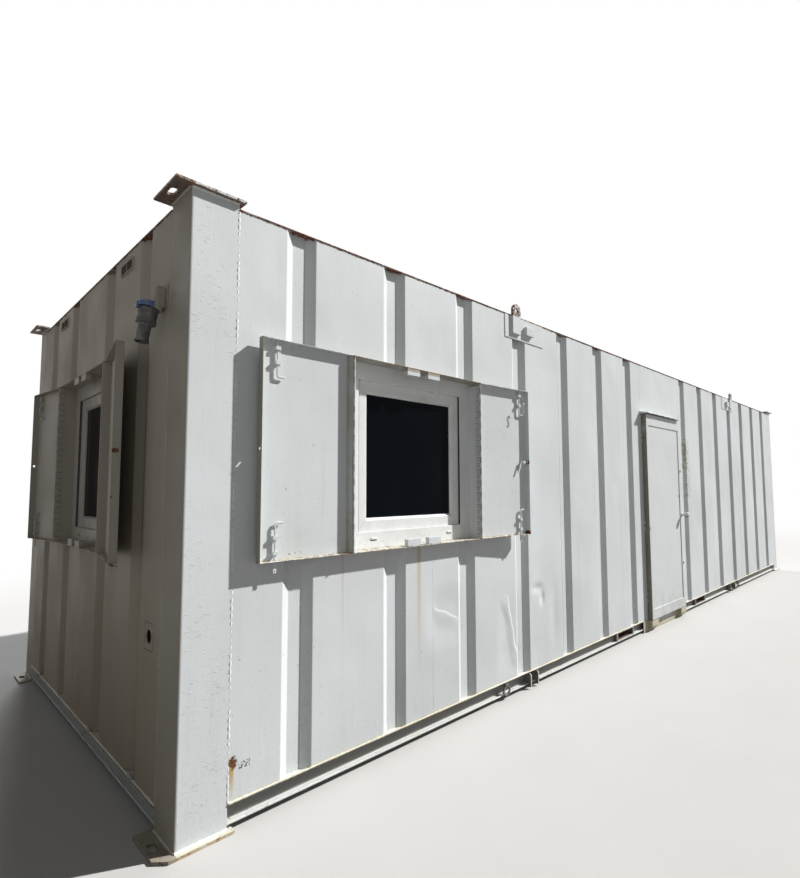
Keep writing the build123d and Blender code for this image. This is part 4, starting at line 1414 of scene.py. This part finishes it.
# Power inlet: a plastic box on a back plate held by four screws, and a collar that faces
# down, blue in front and bleached where it meets the box.
inlet_lean = math.radians(10)
inlet_axis = Vector((-math.sin(inlet_lean), 0, -math.cos(inlet_lean)))
collar_start = Vector((-0.058, 0.285, 2.232))
inlet = bmesh.new()
add_block(inlet, (-0.005, 0), (0.229, 0.341), (2.22, 2.324))
rounded(inlet, 0.0015, 2, sharp(50))
case = bmesh.new()
add_block(case, (-0.046, -0.004), (0.246, 0.324), (2.22, 2.312))
rounded(case, 0.009, 4, sharp(50))
case_data = bpy.data.meshes.new("inlet_case_shell")
case.to_mesh(case_data)
case.free()
inlet.from_mesh(case_data)
bpy.data.meshes.remove(case_data)
screw_profile = [(0, 0), (0.0045, 0), (0.004, 0.0018), (0, 0.0024)]
for y in (0.237, 0.333):
    for z in (2.228, 2.316):
        add_turned(inlet, screw_profile, (-0.005, y, z), (-1, 0, 0), 14)


def case_soil(f):
    return f.cloud(0.03, 0.35, 0.65, detail=6)


case_paint = site_paint(
    "inlet_case",
    base=(0.42, 0.39, 0.34),
    worn=(0.32, 0.295, 0.25),
    grime=0.8,
    low_dirt=0,
    gloss=0.06,
    stains=[(case_soil, (0.3, 0.26, 0.21), 0.5)],
)
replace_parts(made("inlet_case", inlet, case_paint, smooth=True), "power_inlet")

f = Finish("inlet_plastic")
worn = f.noise(0.02, detail=5)
blue = f.mix(f.ramp(f.x, -0.062, -0.05), (0.035, 0.085, 0.24), (0.5, 0.5, 0.5))
inlet_plastic = f.set(
    Base_Color=f.mix(f.ramp(worn, 0.4, 0.8, 0, 0.6), blue, (0.25, 0.24, 0.22)),
    Roughness=f.ramp(worn, 0.3, 0.7, 0.35, 0.55),
    Normal=f.bump(worn, 0.0003),
)
collar = bmesh.new()
collar_profile = [
    (0, 0), (0.047, 0), (0.05, 0.003), (0.051, 0.006), (0.051, 0.011), (0.049, 0.0125), (0.049, 0.0145),
    (0.051, 0.016), (0.051, 0.022), (0.049, 0.0245), (0.044, 0.0247), (0.044, 0.018), (0, 0.018),
]
add_turned(collar, collar_profile, collar_start, inlet_axis, 48)
add_block(collar, (-0.115, -0.103), (0.276, 0.294), (2.205, 2.228))
made("inlet_collar", collar, inlet_plastic, smooth=True)


# Connector pushed up into the inlet: grey moulded plastic, a wide body, a shoulder with a
# ribbed ring, and a long ringed grip that flares to an open mouth. Dusty all over.
f = Finish("connector_plastic")
grit = f.lumps(0.012)
grey = f.mix(f.cloud(0.04, 0.35, 0.65), (0.045, 0.047, 0.05), (0.14, 0.135, 0.125))
connector_plastic = f.set(
    Base_Color=f.mix(f.ramp(grit, 0.5, 0.75, 0, 0.6), grey, (0.26, 0.24, 0.21)),
    Roughness=f.ramp(grit, 0.3, 0.7, 0.5, 0.75),
    Normal=f.bump(grit, 0.0004),
)
connector = bmesh.new()
grip_profile = [
    (0, 0.001), (0.036, 0.001), (0.038, 0.003), (0.038, 0.02), (0.0365, 0.0215), (0.0365, 0.0245),
    (0.038, 0.026), (0.038, 0.048), (0.041, 0.052), (0.041, 0.056), (0.0395, 0.0575), (0.041, 0.059),
    (0.041, 0.0625), (0.0395, 0.064), (0.041, 0.0655), (0.041, 0.07), (0.037, 0.0725), (0.03, 0.074),
    (0.0265, 0.078),
]
for k in range(7):
    low = 0.082 + 0.0075 * k
    grip_profile += [(0.0262, low), (0.0262, low + 0.004), (0.0245, low + 0.005), (0.0245, low + 0.0065)]
grip_profile += [
    (0.026, 0.135), (0.0275, 0.142), (0.0298, 0.154), (0.0285, 0.1558), (0.022, 0.1556), (0.018, 0.13),
    (0, 0.128),
]
add_turned(connector, grip_profile, collar_start + inlet_axis * 0.024, inlet_axis, 40)
rib_count = 12
rib_centre = collar_start + inlet_axis * 0.061
rib_place = rib_centre + Vector((0, 0.0385, 0)) + inlet_axis * -0.025
for k in range(rib_count):
    around = Matrix.Rotation(k * 2 * math.pi / rib_count, 4, inlet_axis)
    about = Matrix.Translation(rib_centre) @ around @ Matrix.Translation(-rib_centre)
    rib = bmesh.ops.create_cube(connector, size=1)["verts"]
    bmesh.ops.scale(connector, vec=(0.0045, 0.0016, 0.04), verts=rib)
    bmesh.ops.rotate(connector, cent=(0, 0, 0), matrix=Matrix.Rotation(inlet_lean, 3, "Y"), verts=rib)
    bmesh.ops.translate(connector, vec=rib_place, verts=rib)
    bmesh.ops.transform(connector, matrix=about, verts=rib)
grip = made("connector_grip", connector, connector_plastic, smooth=True)
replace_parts(grip, "inlet_connector")
